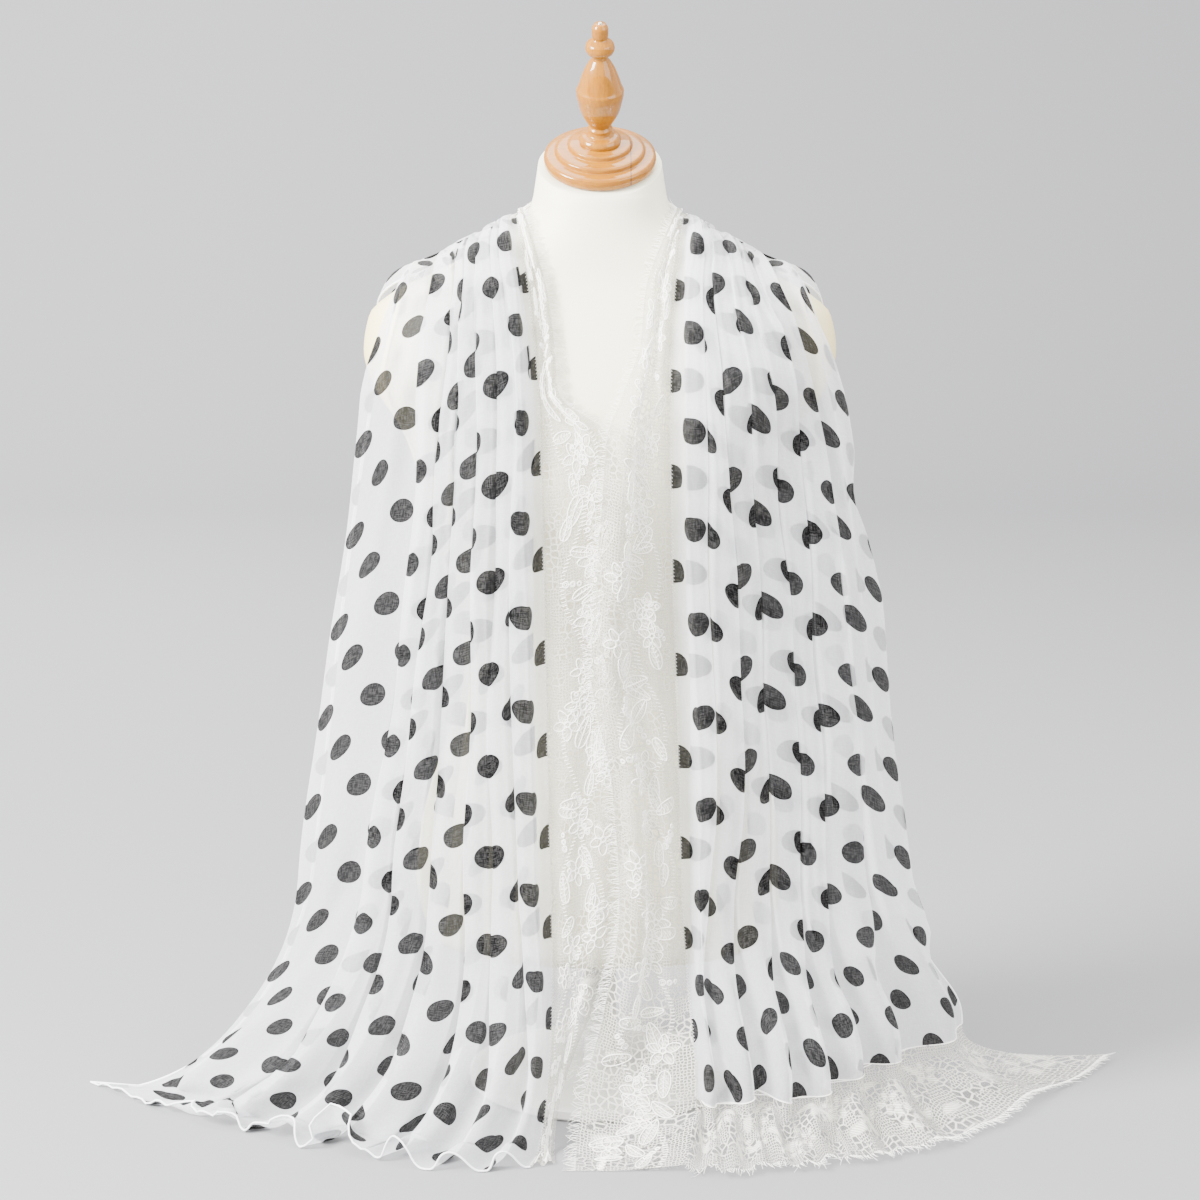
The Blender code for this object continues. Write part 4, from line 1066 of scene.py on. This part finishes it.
def laceDesign(length, seed):
    # cords and filled patches of the border's pattern, flat: across from the free edge, and along
    random = np.random.default_rng(seed)
    cords, patches = [], []
    turn = np.linspace(0, 2 * math.pi, 17)

    def oval(place, size, lean, thickness=1.0):
        a, b = size[0] * np.cos(turn), size[1] * np.sin(turn) * (1 - 0.25 * np.cos(turn))
        cords.append((np.stack([place[0] + a * math.cos(lean) - b * math.sin(lean),
                                place[1] + a * math.sin(lean) + b * math.cos(lean)], axis=1),
                                thickness))

    def along(across, start, stop, thickness, step=0.0025):
        at = np.arange(start, stop, step)
        cords.append((np.stack([across(at), at], axis=1), thickness))

    def ladder(centre, half, start, stop):  # two cords with rungs between them
        along(lambda v: centre(v) - half, start, stop, 1.0)
        along(lambda v: centre(v) + half, start, stop, 1.0)
        for v in np.arange(start + 0.001, stop, 0.0032):
            cords.append((np.array([[centre(v) - half, v], [centre(v) + half, v + 0.0008]]), 0.7))

    along(lambda v: 0.0030 + 0.0022 * np.abs(np.sin(math.pi * v / 0.014)), 0.0, length, 1.1, 0.0018)
    along(lambda v: 0.0075 + 0.0 * v, 0.0, length, 0.8)
    along(lambda v: 0.0765 - 0.0015 * np.abs(np.sin(math.pi * v / 0.009)), 0.0, length, 0.9, 0.0018)
    swing = 2 * math.pi / 0.128
    phase = random.uniform(0, 6)
    ladder(lambda v: 0.030 + 0.013 * np.sin(swing * v + phase), 0.0021, 0.0, length)
    ladder(lambda v: 0.054 - 0.010 * np.sin(swing * v + phase + 0.5), 0.0019, 0.0, length)
    along(lambda v: 0.043 + 0.020 * np.sin(swing * v * 1.5 + phase), 0.0, length, 0.8)
    v = random.uniform(0.0, 0.02)
    while v < length:
        across = random.uniform(0.018, 0.062)
        kind = random.integers(3)
        lean = random.uniform(0, 2 * math.pi)
        if kind == 0:  # a flower of five open petals round a ring
            size = random.uniform(0.0062, 0.0085)
            for n in range(5):
                petal = lean + n * 2 * math.pi / 5
                place = (across + size * math.cos(petal), v + size * math.sin(petal))
                oval(place, (size * 0.72, size * 0.46), petal)
                patches.append((place, (size * 0.60, size * 0.36), petal))
            oval((across, v), (size * 0.26, size * 0.26), 0.0)
        elif kind == 1:  # a leaf with a midrib and veins
            size = random.uniform(0.010, 0.014)
            oval((across, v), (size, size * 0.42), lean)
            patches.append(((across, v), (size * 0.9, size * 0.34), lean))
            tip = size * np.array([math.cos(lean), math.sin(lean)])
            cords.append((np.array([(across, v) - tip, (across, v) + tip]), 0.8))
            for share in (-0.5, -0.15, 0.2, 0.5):
                foot = np.array([across, v]) + share * tip
                for side in (-1, 1):
                    vein = 0.36 * size * np.array([math.cos(lean + side * 1.0),
                                                   math.sin(lean + side * 1.0)])
                    cords.append((np.array([foot, foot + vein * (1 - abs(share))]), 0.6))
        else:  # three rings on a curl
            for n in range(3):
                place = (across + 0.006 * n * math.cos(lean), v + 0.006 * n * math.sin(lean))
                oval(place, (0.0026 - 0.0004 * n, 0.0026 - 0.0004 * n), 0.0)
                oval(place, (0.0012, 0.0012), 0.0, 0.7)
        v += random.uniform(0.0055, 0.0095)
    return cords, patches


def onCloth(grid, uv, flatPoints, lift):  # flat points (across, along) laid on a cloth's grid
    normals = gridNormals(grid)
    middle = uv[:, uv.shape[1] // 2, 1]
    across = uv[uv.shape[0] // 2, :, 0]
    row = np.interp(flatPoints[:, 1], middle, np.arange(grid.shape[0]))
    place = np.interp(flatPoints[:, 0], across, np.arange(grid.shape[1]))
    return readGrid(grid, row, place) + lift * unit(readGrid(normals, row, place))


def fillOf(uv, patches):
    filled = np.zeros(uv.shape[:2])
    for (across, along), (long, wide), lean in patches:
        a, b = uv[..., 0] - across, uv[..., 1] - along
        p = (a * math.cos(lean) + b * math.sin(lean)) / long
        q = (b * math.cos(lean) - a * math.sin(lean)) / wide
        filled = np.maximum(filled, ease(1.9 * (1.25 - np.hypot(p, q))))
    return filled


def lashLines(grid, seed, side=1, lowEdge=0.015):
    # lashes from a grid's first column, away from it and a little off its face
    random = np.random.default_rng(seed)
    normals = gridNormals(grid)[:, 0]
    edge, away = grid[:, 0], unit(grid[:, 0] - grid[:, 6])
    along = lengthAlong(edge)
    lines = []
    at = 0.001
    while at < along[-1] - 0.001:
        def read(values):
            return np.array([np.interp(at, along, values[:, i]) for i in range(3)])
        foot, out, off = read(edge), unit(read(away)), unit(read(normals))
        run = unit(read(edge) - np.array([np.interp(at - 0.002, along,
                                                    edge[:, i]) for i in range(3)]) + 1e-9)
        low = foot[2] < lowEdge
        out = unit(out * np.array([1, 1, 0])) if low else unit(out + lashShape["lift"] * off)
        length = lashShape["length"] * random.uniform(*lashShape["lengths"])
        lean, curl = random.normal() * lashShape["lean"], random.normal() * lashShape["curl"]
        t = np.linspace(0, 1, lashShape["points"])[:, None]
        drop = np.array([0, 0, 0.0 if low else -lashShape["droop"] * random.random()])
        bent = t * unit(out + lean * run) + t * t * (curl * run + drop)
        line = foot + length * (bent + lashShape["twist"] * t * t * off * random.normal())
        line[:, 2] = np.maximum(line[:, 2], lashShape["aboveFloor"])
        lines.append((mirrored(line) if side < 0 else line,
                      np.linspace(*lashShape["thickness"], lashShape["points"])))
        at += lashShape["spacing"] * random.uniform(*lashShape["spacings"])
    return lines


def seamEdge(grid):  # just inside a cloth's first column
    return grid[:, 0] + seamGap * unit(grid[:, 0] - grid[:, 1])


def dressLace(name, grid, uv, seed, side, node, fringeNode, lashedShare):
    # a lace sheet with its cords and lashes
    cords, patches = laceDesign(float(uv[-1, uv.shape[1] // 2, 1]), seed)
    sheet = gridPiece(name, grid, uv, lace, side < 0, {"filled": fillOf(uv, patches)})
    lines = []
    for flatPoints, thickness in cords:
        inside = (flatPoints[:, 0] > 0.0005) & (flatPoints[:, 0] < laceShape["width"] - 0.0005)
        inside &= (flatPoints[:, 1] > 0) & (flatPoints[:, 1] < uv[-1, uv.shape[1] // 2, 1])
        if inside.all():
            line = onCloth(grid, uv, flatPoints, laceShape["cordLift"])
            lines.append((mirrored(line) if side < 0 else line, thickness))
    corded = makeThreads(name + "Cords", lines, laceShape["cordRadius"], 4, cotton)
    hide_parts(node)
    lashed = grid[:int(lashedShare * len(grid))]
    lashes = makeThreads(name + "Lashes", lashLines(lashed, seed + 40, side), lashShape["radius"],
                         3, cotton)
    if fringeNode:
        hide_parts(fringeNode)
    return sheet, corded, lashes


endShape = {
    "free": ((0.0700, -0.2220), (0.1060, -0.2290), (0.1450, -0.2230), (0.1790, -0.2110),
             (0.2160, -0.2000), (0.2560, -0.1790), (0.3260, -0.1300), (0.4520, 0.0420)),
    "rows": 56,
    "crest": 0.006,
    "sink": 0.001,
    "ruffle": 0.0190,
    "scallop": 0.006,
    "turnsAbout": (0.10, 0.10, 0.0),
    "dropPull": 0.65,
    "floorPull": 0.5,
}


def endLace():
    # from the right fall's last row down to the floor and out along it
    down = unit(rightGrid[-1] - rightGrid[-4])
    start = rightGrid[-1] + seamGap * down
    lines = rightUv[-1, :, 0]
    at = np.interp(lines, np.concatenate([[0], np.cumsum([row[-1] for row in rightLines[:-1]])]),
                   np.arange(len(rightLines)))
    free = np.array(endShape["free"])
    end = np.zeros((len(at), 3))
    for i in range(2):
        end[:, i] = smoothCurve(np.arange(len(free)), free[:, i], at)
    outwards = unit(end - np.array(endShape["turnsAbout"]))
    end += outwards * (endShape["scallop"] * wander(at / 7, 61, 9, 1.6) * ease(at / 0.4))[:, None]
    wave = 0.5 - 0.5 * np.cos(2 * math.pi * at)
    end[:, 2] = np.maximum(0, endShape["crest"] * wave - endShape["sink"])
    first = start + endShape["dropPull"] * down * start[:, 2:]
    second = end + endShape["floorPull"] * (first - end) * np.array([1, 1, 0])
    t = np.linspace(0, 1, endShape["rows"])[:, None, None]
    grid = bezier(start, first, second, end, t)
    # fine ruffles, more towards the free edge
    ruffle = np.sin(2 * math.pi * at * 0.95 + 1.0 + 1.6 * t[...,
        0]) + 0.45 * np.sin(2 * math.pi * at * 1.9 + 0.6)
    # highest half way, low at the free edge
    body = np.sin(math.pi * (0.06 + 0.80 * t[..., 0])) * ease(t[..., 0] / 0.3)
    grid[..., 2] += endShape["ruffle"] * (0.5 + 0.34 * ruffle) * body
    grid = onFloor(grid, 0.0006)
    # columns become rows, so that the first column is the free edge
    grid = grid[::-1].transpose(1, 0, 2)
    across = laceShape["width"] * (1 - t[::-1, 0, 0])
    run = lengthAlong(grid[:, grid.shape[1] // 2])
    uv = np.stack(np.broadcast_arrays(laceShape["width"] - across[None, :], run[:, None]), axis=2)
    return grid, uv


leftLace = laceStrip(seam=seamEdge(leftGrid), **laceStrips["left"])
endGrid, endUv = endLace()
rightSeam = np.vstack([seamEdge(rightGrid), endGrid[0, ::-1]])
rightLace = laceStrip(seam=rightSeam, **laceStrips["right"])
neckLaceBase = neckBase(neckShape["laceShoulder"], neckShape["laceBack"])
neckRows = np.linspace(0, 1, laceShape["neckRows"])
neckLaceGrid, neckLaceUv, _ = pleatedGrid(neckLaceBase, (0, -1), (0.04, 0.04), neckRows,
                                          np.full(len(neckRows), clothShape["crestLimits"][0]),
                                          0 * neckRows, 8, 0.5, softTable)
neckLaceGrid = sewTo(neckLaceGrid, atShares(seamEdge(neckGrid), neckRows))

laceParts = {
    "laceLeft": dressLace("laceLeft", *leftLace, 51, -1, "lace_left", "fringe_left",
                          laceStrips["left"]["lashed"]),
    "laceNeck": dressLace("laceNeck", neckLaceGrid, neckLaceUv, 52, 1, "lace_neck", "fringe_neck",
                          1.0),
    "laceRight": dressLace("laceRight", *rightLace, 53, 1, "lace_right", "fringe_right",
                           laceStrips["right"]["lashed"]),
    "laceEnd": dressLace("laceEnd", endGrid, endUv, 54, 1, "lace_end", "fringe_end", 1.0),
}
# real stitches are 1.5 mm long, drawn long enough to show
seamShape = {"stitch": 0.0030, "reach": 0.0012, "thread": 0.00024, "lift": 0.0007}


def seamStitches(name, grid, side):
    # overlock thread that crosses the seam to and fro
    edge, aside, off = grid[:, 0], unit(grid[:, 0] - grid[:, 1]), gridNormals(grid)[:, 0]
    run = lengthAlong(edge)
    at = np.arange(0.001, run[-1] - 0.001, seamShape["stitch"] / 2)
    place = np.interp(at, run, np.arange(len(run)))[:, None]

    def read(values):
        return np.stack([np.interp(place[:, 0], np.arange(len(run)),
                                   values[:, i]) for i in range(3)], axis=1)

    across = np.where(np.arange(len(at)) % 2, 1.0, -1.0)[:, None] * seamShape["reach"]
    line = onFloor(read(edge) + across * read(aside) + seamShape["lift"] * read(off), 0.0010)
    return makeThreads(name, [(mirrored(line) if side < 0 else line, 1.0)], seamShape["thread"], 4,
                       cotton)


stitchesLeft = seamStitches("stitchesLeft", leftGrid, -1)
stitchesNeck = seamStitches("stitchesNeck", neckGrid, 1)
stitchesRight = seamStitches("stitchesRight", rightGrid, 1)
print("lace made:", {name: [len(p.data.polygons) for p in parts] for name,
                     parts in laceParts.items()})


# Rolled hems

hemShape = {"radius": 0.00085}


def hemMaterial():
    # the chiffon's own edge, rolled and overlocked: three layers, so an even bright white
    material, tree = newMaterial("rolledChiffon")
    place = addNode(tree, "ShaderNodeTexCoord")
    stitches = addNode(tree, "ShaderNodeTexNoise", {
        "Vector": place.outputs["Object"], "Scale": 900.0, "Detail": 1.0})
    colour = addNode(tree, "ShaderNodeMix", {
        0: stitches.outputs[0], 6: hexColour("E6E7EB"), 7: hexColour("FDFDFF")}, data_type="RGBA")
    bumpedSurface(tree, stitches.outputs[0], 0.3, 0.0003, {
        "Base Color": colour.outputs[2], "Roughness": 0.6, "Sheen Weight": 0.3})
    return material


rolled = hemMaterial()
leftHemLine = mirrored(np.vstack([leftGrid[:, -1], leftGrid[-1, -2::-1]]))
hemLeft = makeThreads("hemLeft", [(onFloor(leftHemLine, hemShape["radius"]), 1.0)],
                      hemShape["radius"], 6, rolled)
hemNeck = makeThreads("hemNeck", [(neckGrid[:, -1], 1.0)], hemShape["radius"], 6, rolled)
hemRight = makeThreads("hemRight", [(rightGrid[:, -1], 1.0)], hemShape["radius"], 6, rolled)
print("hems made")


# Dress form

formLook = {"armCaps": "E2D39C", "around": 128, "rings": 120}


def shellMaterial():
    # glass-fibre form under matt ivory lacquer: smooth, faintly uneven, a little yellower on
    # the arm caps
    material, tree = newMaterial("lacqueredIvory")
    place = addNode(tree, "ShaderNodeTexCoord")
    apart = addNode(tree, "ShaderNodeSeparateXYZ", {0: place.outputs["Object"]})
    side = addNode(tree, "ShaderNodeMath", {0: apart.outputs["X"]}, operation="ABSOLUTE")
    onCap = addNode(tree, "ShaderNodeMapRange", {
        "Value": side.outputs[0], "From Min": 0.150, "From Max": 0.196},
        interpolation_type="SMOOTHSTEP")
    patchy = addNode(tree, "ShaderNodeTexNoise", {
        "Vector": place.outputs["Object"], "Scale": 9.0, "Detail": 3.0})
    shade = addNode(tree, "ShaderNodeMix", {
        0: patchy.outputs[0], 6: hexColour("E4E0C4"), 7: hexColour("EEEBD4")}, data_type="RGBA")
    colour = addNode(tree, "ShaderNodeMix", {
        0: onCap.outputs[0], 6: shade.outputs[2], 7: hexColour(formLook["armCaps"])},
        data_type="RGBA")
    peel = addNode(tree, "ShaderNodeTexNoise", {
        "Vector": place.outputs["Object"], "Scale": 420.0, "Detail": 2.0})
    bumpedSurface(tree, peel.outputs[0], 0.06, 0.0005, {
        "Base Color": colour.outputs[2], "Roughness": 0.5, "Specular IOR Level": 0.35})
    return material


def ringFaces(rings, around):
    faces = []
    for i in range(rings - 1):
        for j in range(around):
            a, b = i * around + j, i * around + (j + 1) % around
            faces.append((a, b, b + around, a + around))
    return faces + [tuple(reversed(range(around))),
                    tuple(range((rings - 1) * around, rings * around))]


def buildForm():
    angles = np.linspace(0, 2 * math.pi, formLook["around"], endpoint=False)
    power = 2 / formShape["squareness"]
    across = np.sign(np.cos(angles)) * np.abs(np.cos(angles)) ** power
    along = np.sign(np.sin(angles)) * np.abs(np.sin(angles)) ** power
    heights = np.concatenate([[0.130, 0.1305, 0.132, 0.135],
                              np.linspace(0.140, ringTable[-1, 0], formLook["rings"])])
    rings = []
    for z in heights:
        pull = 1 - 0.010 * max(0.0, (0.136 - z) / 0.006) ** 2
        depth = np.where(along < 0, formSize("front", z), formSize("back", z))
        rings.append(np.stack([formSize("halfWidth", z) * across * pull, depth * along * pull,
                               np.full(len(angles), z)], axis=1))
    drop = formShape["capUnderside"] - seamGap
    tilt, centre = formShape["capTilt"], np.array(formShape["capCentre"])
    x, y = formShape["neckRadius"] * np.cos(angles), formShape["neckRadius"] * np.sin(angles)
    top = centre + np.stack([x, y * math.cos(tilt) - drop * math.sin(tilt),
                             y * math.sin(tilt) + drop * math.cos(tilt)], axis=1)
    neck = [rings[-1] * (1 - t) + top * t for t in np.linspace(0, 1, 12)[1:]]
    points = np.vstack(rings + neck)
    return meshPiece("dressForm", points, ringFaces(len(rings) + len(neck), len(angles)),
                     shellMaterial())


dressForm = buildForm()
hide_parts("form_torso")
dressForm.data.set_sharp_from_angle(angle=math.radians(50))


# Turned wood and the stand

turnedShape = {
    "around": 72,
    "rings": 90,
    # radius and height along the cap's own axis
    "cap": ((0.0395, -0.0060), (0.0462, -0.0035), (0.0468, 0.0005), (0.0462, 0.0035),
            (0.0440, 0.0052),
            (0.0375, 0.0062), (0.0370, 0.0092), (0.0350, 0.0106), (0.0268, 0.0116),
            (0.0262, 0.0146), (0.0240, 0.0158)),
    "finial": ((0.0172, 0.0000), (0.0176, 0.0022), (0.0160, 0.0052), (0.0108, 0.0078),
               (0.0100, 0.0105),
               (0.0104, 0.0125), (0.0086, 0.0150), (0.0102, 0.0176), (0.0126, 0.0215),
               (0.0162, 0.0290),
               (0.0182, 0.0370), (0.0196, 0.0450), (0.0196, 0.0480), (0.0184, 0.0505),
               (0.0158, 0.0585),
               (0.0126, 0.0670), (0.0088, 0.0740), (0.0066, 0.0775), (0.0070, 0.0795),
               (0.0106, 0.0820),
               (0.0121, 0.0860), (0.0112, 0.0900), (0.0078, 0.0932), (0.0060, 0.0948),
               (0.0068, 0.0975),
               (0.0068, 0.1035), (0.0046, 0.1078)),
    "finialFoot": 0.0161,
    "nail": ((0.0021, -0.0008), (0.0021, 0.0002), (0.0017, 0.0009), (0.0009, 0.0013),
             (0.0002, 0.0014)),
    "base": ((0.112, 0.0), (0.115, 0.003), (0.115, 0.009), (0.110, 0.012)),
    "post": ((0.014, 0.0123), (0.014, 0.1297)),
}


def turnedPiece(name, profile, material, slotName, node, lift=0.0, lean=0.0,
                centre=(0.0, 0.0, 0.0)):
    angles = np.linspace(0, 2 * math.pi, turnedShape["around"], endpoint=False)
    rings = []
    for radius, height in softened(profile):
        x, y, z = radius * np.cos(angles), radius * np.sin(angles), height + lift
        rings.append(np.array(centre) + np.stack([x, y * math.cos(lean) - z * math.sin(lean),
                                                  y * math.sin(lean) + z * math.cos(lean)], axis=1))
    piece = meshPiece(name, np.vstack(rings), ringFaces(len(rings), len(angles)), material)
    piece.data.set_sharp_from_angle(angle=math.radians(60))
    if node:
        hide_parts(node)
    return piece


def softened(profile):  # one smooth line through the profile's points, as a lathe tool leaves
    line = np.array(profile, float)
    along = lengthAlong(line)
    at = np.unique(np.concatenate([along, np.linspace(0, along[-1], turnedShape["rings"])]))
    return np.stack([smoothCurve(along, line[:, 0], at), smoothCurve(along, line[:, 1], at)],
                    axis=1)


def woodMaterial(name, grain, cracked):
    # beech turned on a lathe, stained honey and varnished: fine grain under a clear gloss coat
    material, tree = newMaterial(name)
    place = addNode(tree, "ShaderNodeTexCoord")
    laid = addNode(tree, "ShaderNodeMapping", {"Vector": place.outputs["Object"], "Scale": grain})
    fibres = addNode(tree, "ShaderNodeTexNoise", {
        "Vector": laid.outputs[0], "Scale": 1.0, "Detail": 5.0, "Distortion": 0.4})
    tone = addNode(tree, "ShaderNodeMix", {
        0: fibres.outputs[0], 6: hexColour("804704"), 7: hexColour("A97008")}, data_type="RGBA")
    pores = addNode(tree, "ShaderNodeTexNoise", {
        "Vector": laid.outputs[0], "Scale": 4.0, "Detail": 2.0})
    poreDark = addNode(tree, "ShaderNodeMapRange", {
        "Value": pores.outputs[0], "From Min": 0.30, "From Max": 0.42, "To Min": 0.55,
        "To Max": 0.0})
    colour = addNode(tree, "ShaderNodeMix", {
        0: poreDark.outputs[0], 6: tone.outputs[2], 7: hexColour("6B3C0A")}, data_type="RGBA")
    if cracked:  # a hairline check through the cap, at the viewer's right
        apart = addNode(tree, "ShaderNodeSeparateXYZ", {0: place.outputs["Object"]})
        bend = addNode(tree, "ShaderNodeMapRange", {
            "Value": pores.outputs[0], "To Min": -0.0012, "To Max": 0.0012})
        across = addNode(tree, "ShaderNodeMath", {
            0: apart.outputs["X"], 1: bend.outputs[0]}, operation="ADD")
        near = addNode(tree, "ShaderNodeMath", {
            0: across.outputs[0], 1: 0.0255, 2: 0.00035}, operation="COMPARE")
        forward = addNode(tree, "ShaderNodeMath", {
            0: apart.outputs["Y"], 1: -0.012}, operation="LESS_THAN")
        check = addNode(tree, "ShaderNodeMath", {
            0: near.outputs[0], 1: forward.outputs[0]}, operation="MULTIPLY")
        colour = addNode(tree, "ShaderNodeMix", {
            0: check.outputs[0], 6: colour.outputs[2], 7: hexColour("3A1B05")}, data_type="RGBA")
    bumpedSurface(tree, fibres.outputs[0], 0.06, 0.0004, {
        "Base Color": colour.outputs[2], "Roughness": 0.35, "Specular IOR Level": 0.1,
        "Coat Weight": 0.7,
        "Coat Roughness": 0.07})
    return material


def shadedSteelMaterial():
    # steel tube and plate under satin cream powder coat: an even skin with fine orange peel,
    # coloured greyer than the cream paint as painted shade from the cloth above it
    material, tree = newMaterial("powderCoatWithPaintedShade")
    place = addNode(tree, "ShaderNodeTexCoord")
    peel = addNode(tree, "ShaderNodeTexNoise", {
        "Vector": place.outputs["Object"], "Scale": 700.0, "Detail": 2.0})
    colour = addNode(tree, "ShaderNodeMix", {
        # painted shade: the cream coat's colour darkened towards the grey of the shaded floor
        0: peel.outputs[0], 6: hexColour("BDBCB6"), 7: hexColour("C9C8C2")}, data_type="RGBA")
    bumpedSurface(tree, peel.outputs[0], 0.15, 0.0003, {"Base Color": colour.outputs[2],
                                                        "Roughness": 0.4})
    return material


leant = {"lean": formShape["capTilt"], "centre": formShape["capCentre"]}
neckCap = turnedPiece("neckCap", turnedShape["cap"], woodMaterial("varnishedBeechAcross",
    (40, 420, 420), True),
                      "varnished_wood", "neck_cap", **leant)
finial = turnedPiece("finial", turnedShape["finial"], woodMaterial("varnishedBeechAlong",
    (420, 420, 46), False),
                     "varnished_wood", "finial", turnedShape["finialFoot"], **leant)
steel = shadedSteelMaterial()


def nailMaterial():
    # a drawn wire nail's head: bright steel, lightly scuffed
    material, tree = newMaterial("drawnSteel")
    place = addNode(tree, "ShaderNodeTexCoord")
    scuffs = addNode(tree, "ShaderNodeTexNoise", {
        "Vector": place.outputs["Object"], "Scale": 2600.0, "Detail": 2.0})
    rough = addNode(tree, "ShaderNodeMapRange", {
        "Value": scuffs.outputs[0], "To Min": 0.18, "To Max": 0.42})
    shader = addNode(tree, "ShaderNodeBsdfPrincipled", {
        "Base Color": hexColour("B9B4AA"), "Roughness": rough.outputs[0], "Metallic": 1.0})
    addNode(tree, "ShaderNodeOutputMaterial", {"Surface": shader.outputs[0]})
    return material


finialNail = turnedPiece("finialNail", turnedShape["nail"], nailMaterial(), "stand_metal", None,
                         turnedShape["finialFoot"] + turnedShape["finial"][-1][1], **leant)
standBase = turnedPiece("standBase", turnedShape["base"], steel, "stand_metal", "stand_base")
standPost = turnedPiece("standPost", turnedShape["post"], steel, "stand_metal", "stand_post")
print("form, wood and stand made")


# The flat sizes that the cloth was cut to

def clothArea(piece):
    return sum(face.area for face in piece.data.polygons)


cut = {
    # flat width and length, area, how it is held, what it rests on, the piece and what is sewn
    # on it. The three areas are guesses between the rectangle and the mesh.
    "chiffonLeft": (0.50, 0.86, None, "hung", (dressForm,), chiffonLeft, hemLeft, stitchesLeft),
    "chiffonNeck": (0.50, 0.38, 0.175, "draped", (dressForm,), chiffonNeck, hemNeck, stitchesNeck),
    "chiffonRight": (0.50, 0.76, None, "hung", (dressForm,), chiffonRight, hemRight, stitchesRight),
    "laceLeft": (0.08, 0.86, 0.052, "hung", (dressForm,), *laceParts["laceLeft"]),
    "laceNeck": (0.08, 0.24, 0.0115, "draped", (dressForm,), *laceParts["laceNeck"]),
    "laceRight": (0.08, 0.86, None, "hung", (dressForm,), *laceParts["laceRight"]),
    "laceEnd": (0.08, 0.56, None, "laid", (chiffonRight,), *laceParts["laceEnd"]),
}
for name, (width, length, area, held, restsOn, piece, *sewn) in cut.items():
    print("cloth area", name, round(clothArea(piece), 4), "of", area or round(width * length, 4))


pieces = [o for o in bpy.context.scene.objects if o.type == "MESH" and o.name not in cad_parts]
triangles = {o.name: sum(len(face.vertices) - 2 for face in o.data.polygons) for o in pieces}
print("triangles:", sum(triangles.values()), "most:", max(triangles.items(),
    key=lambda item: item[1]))
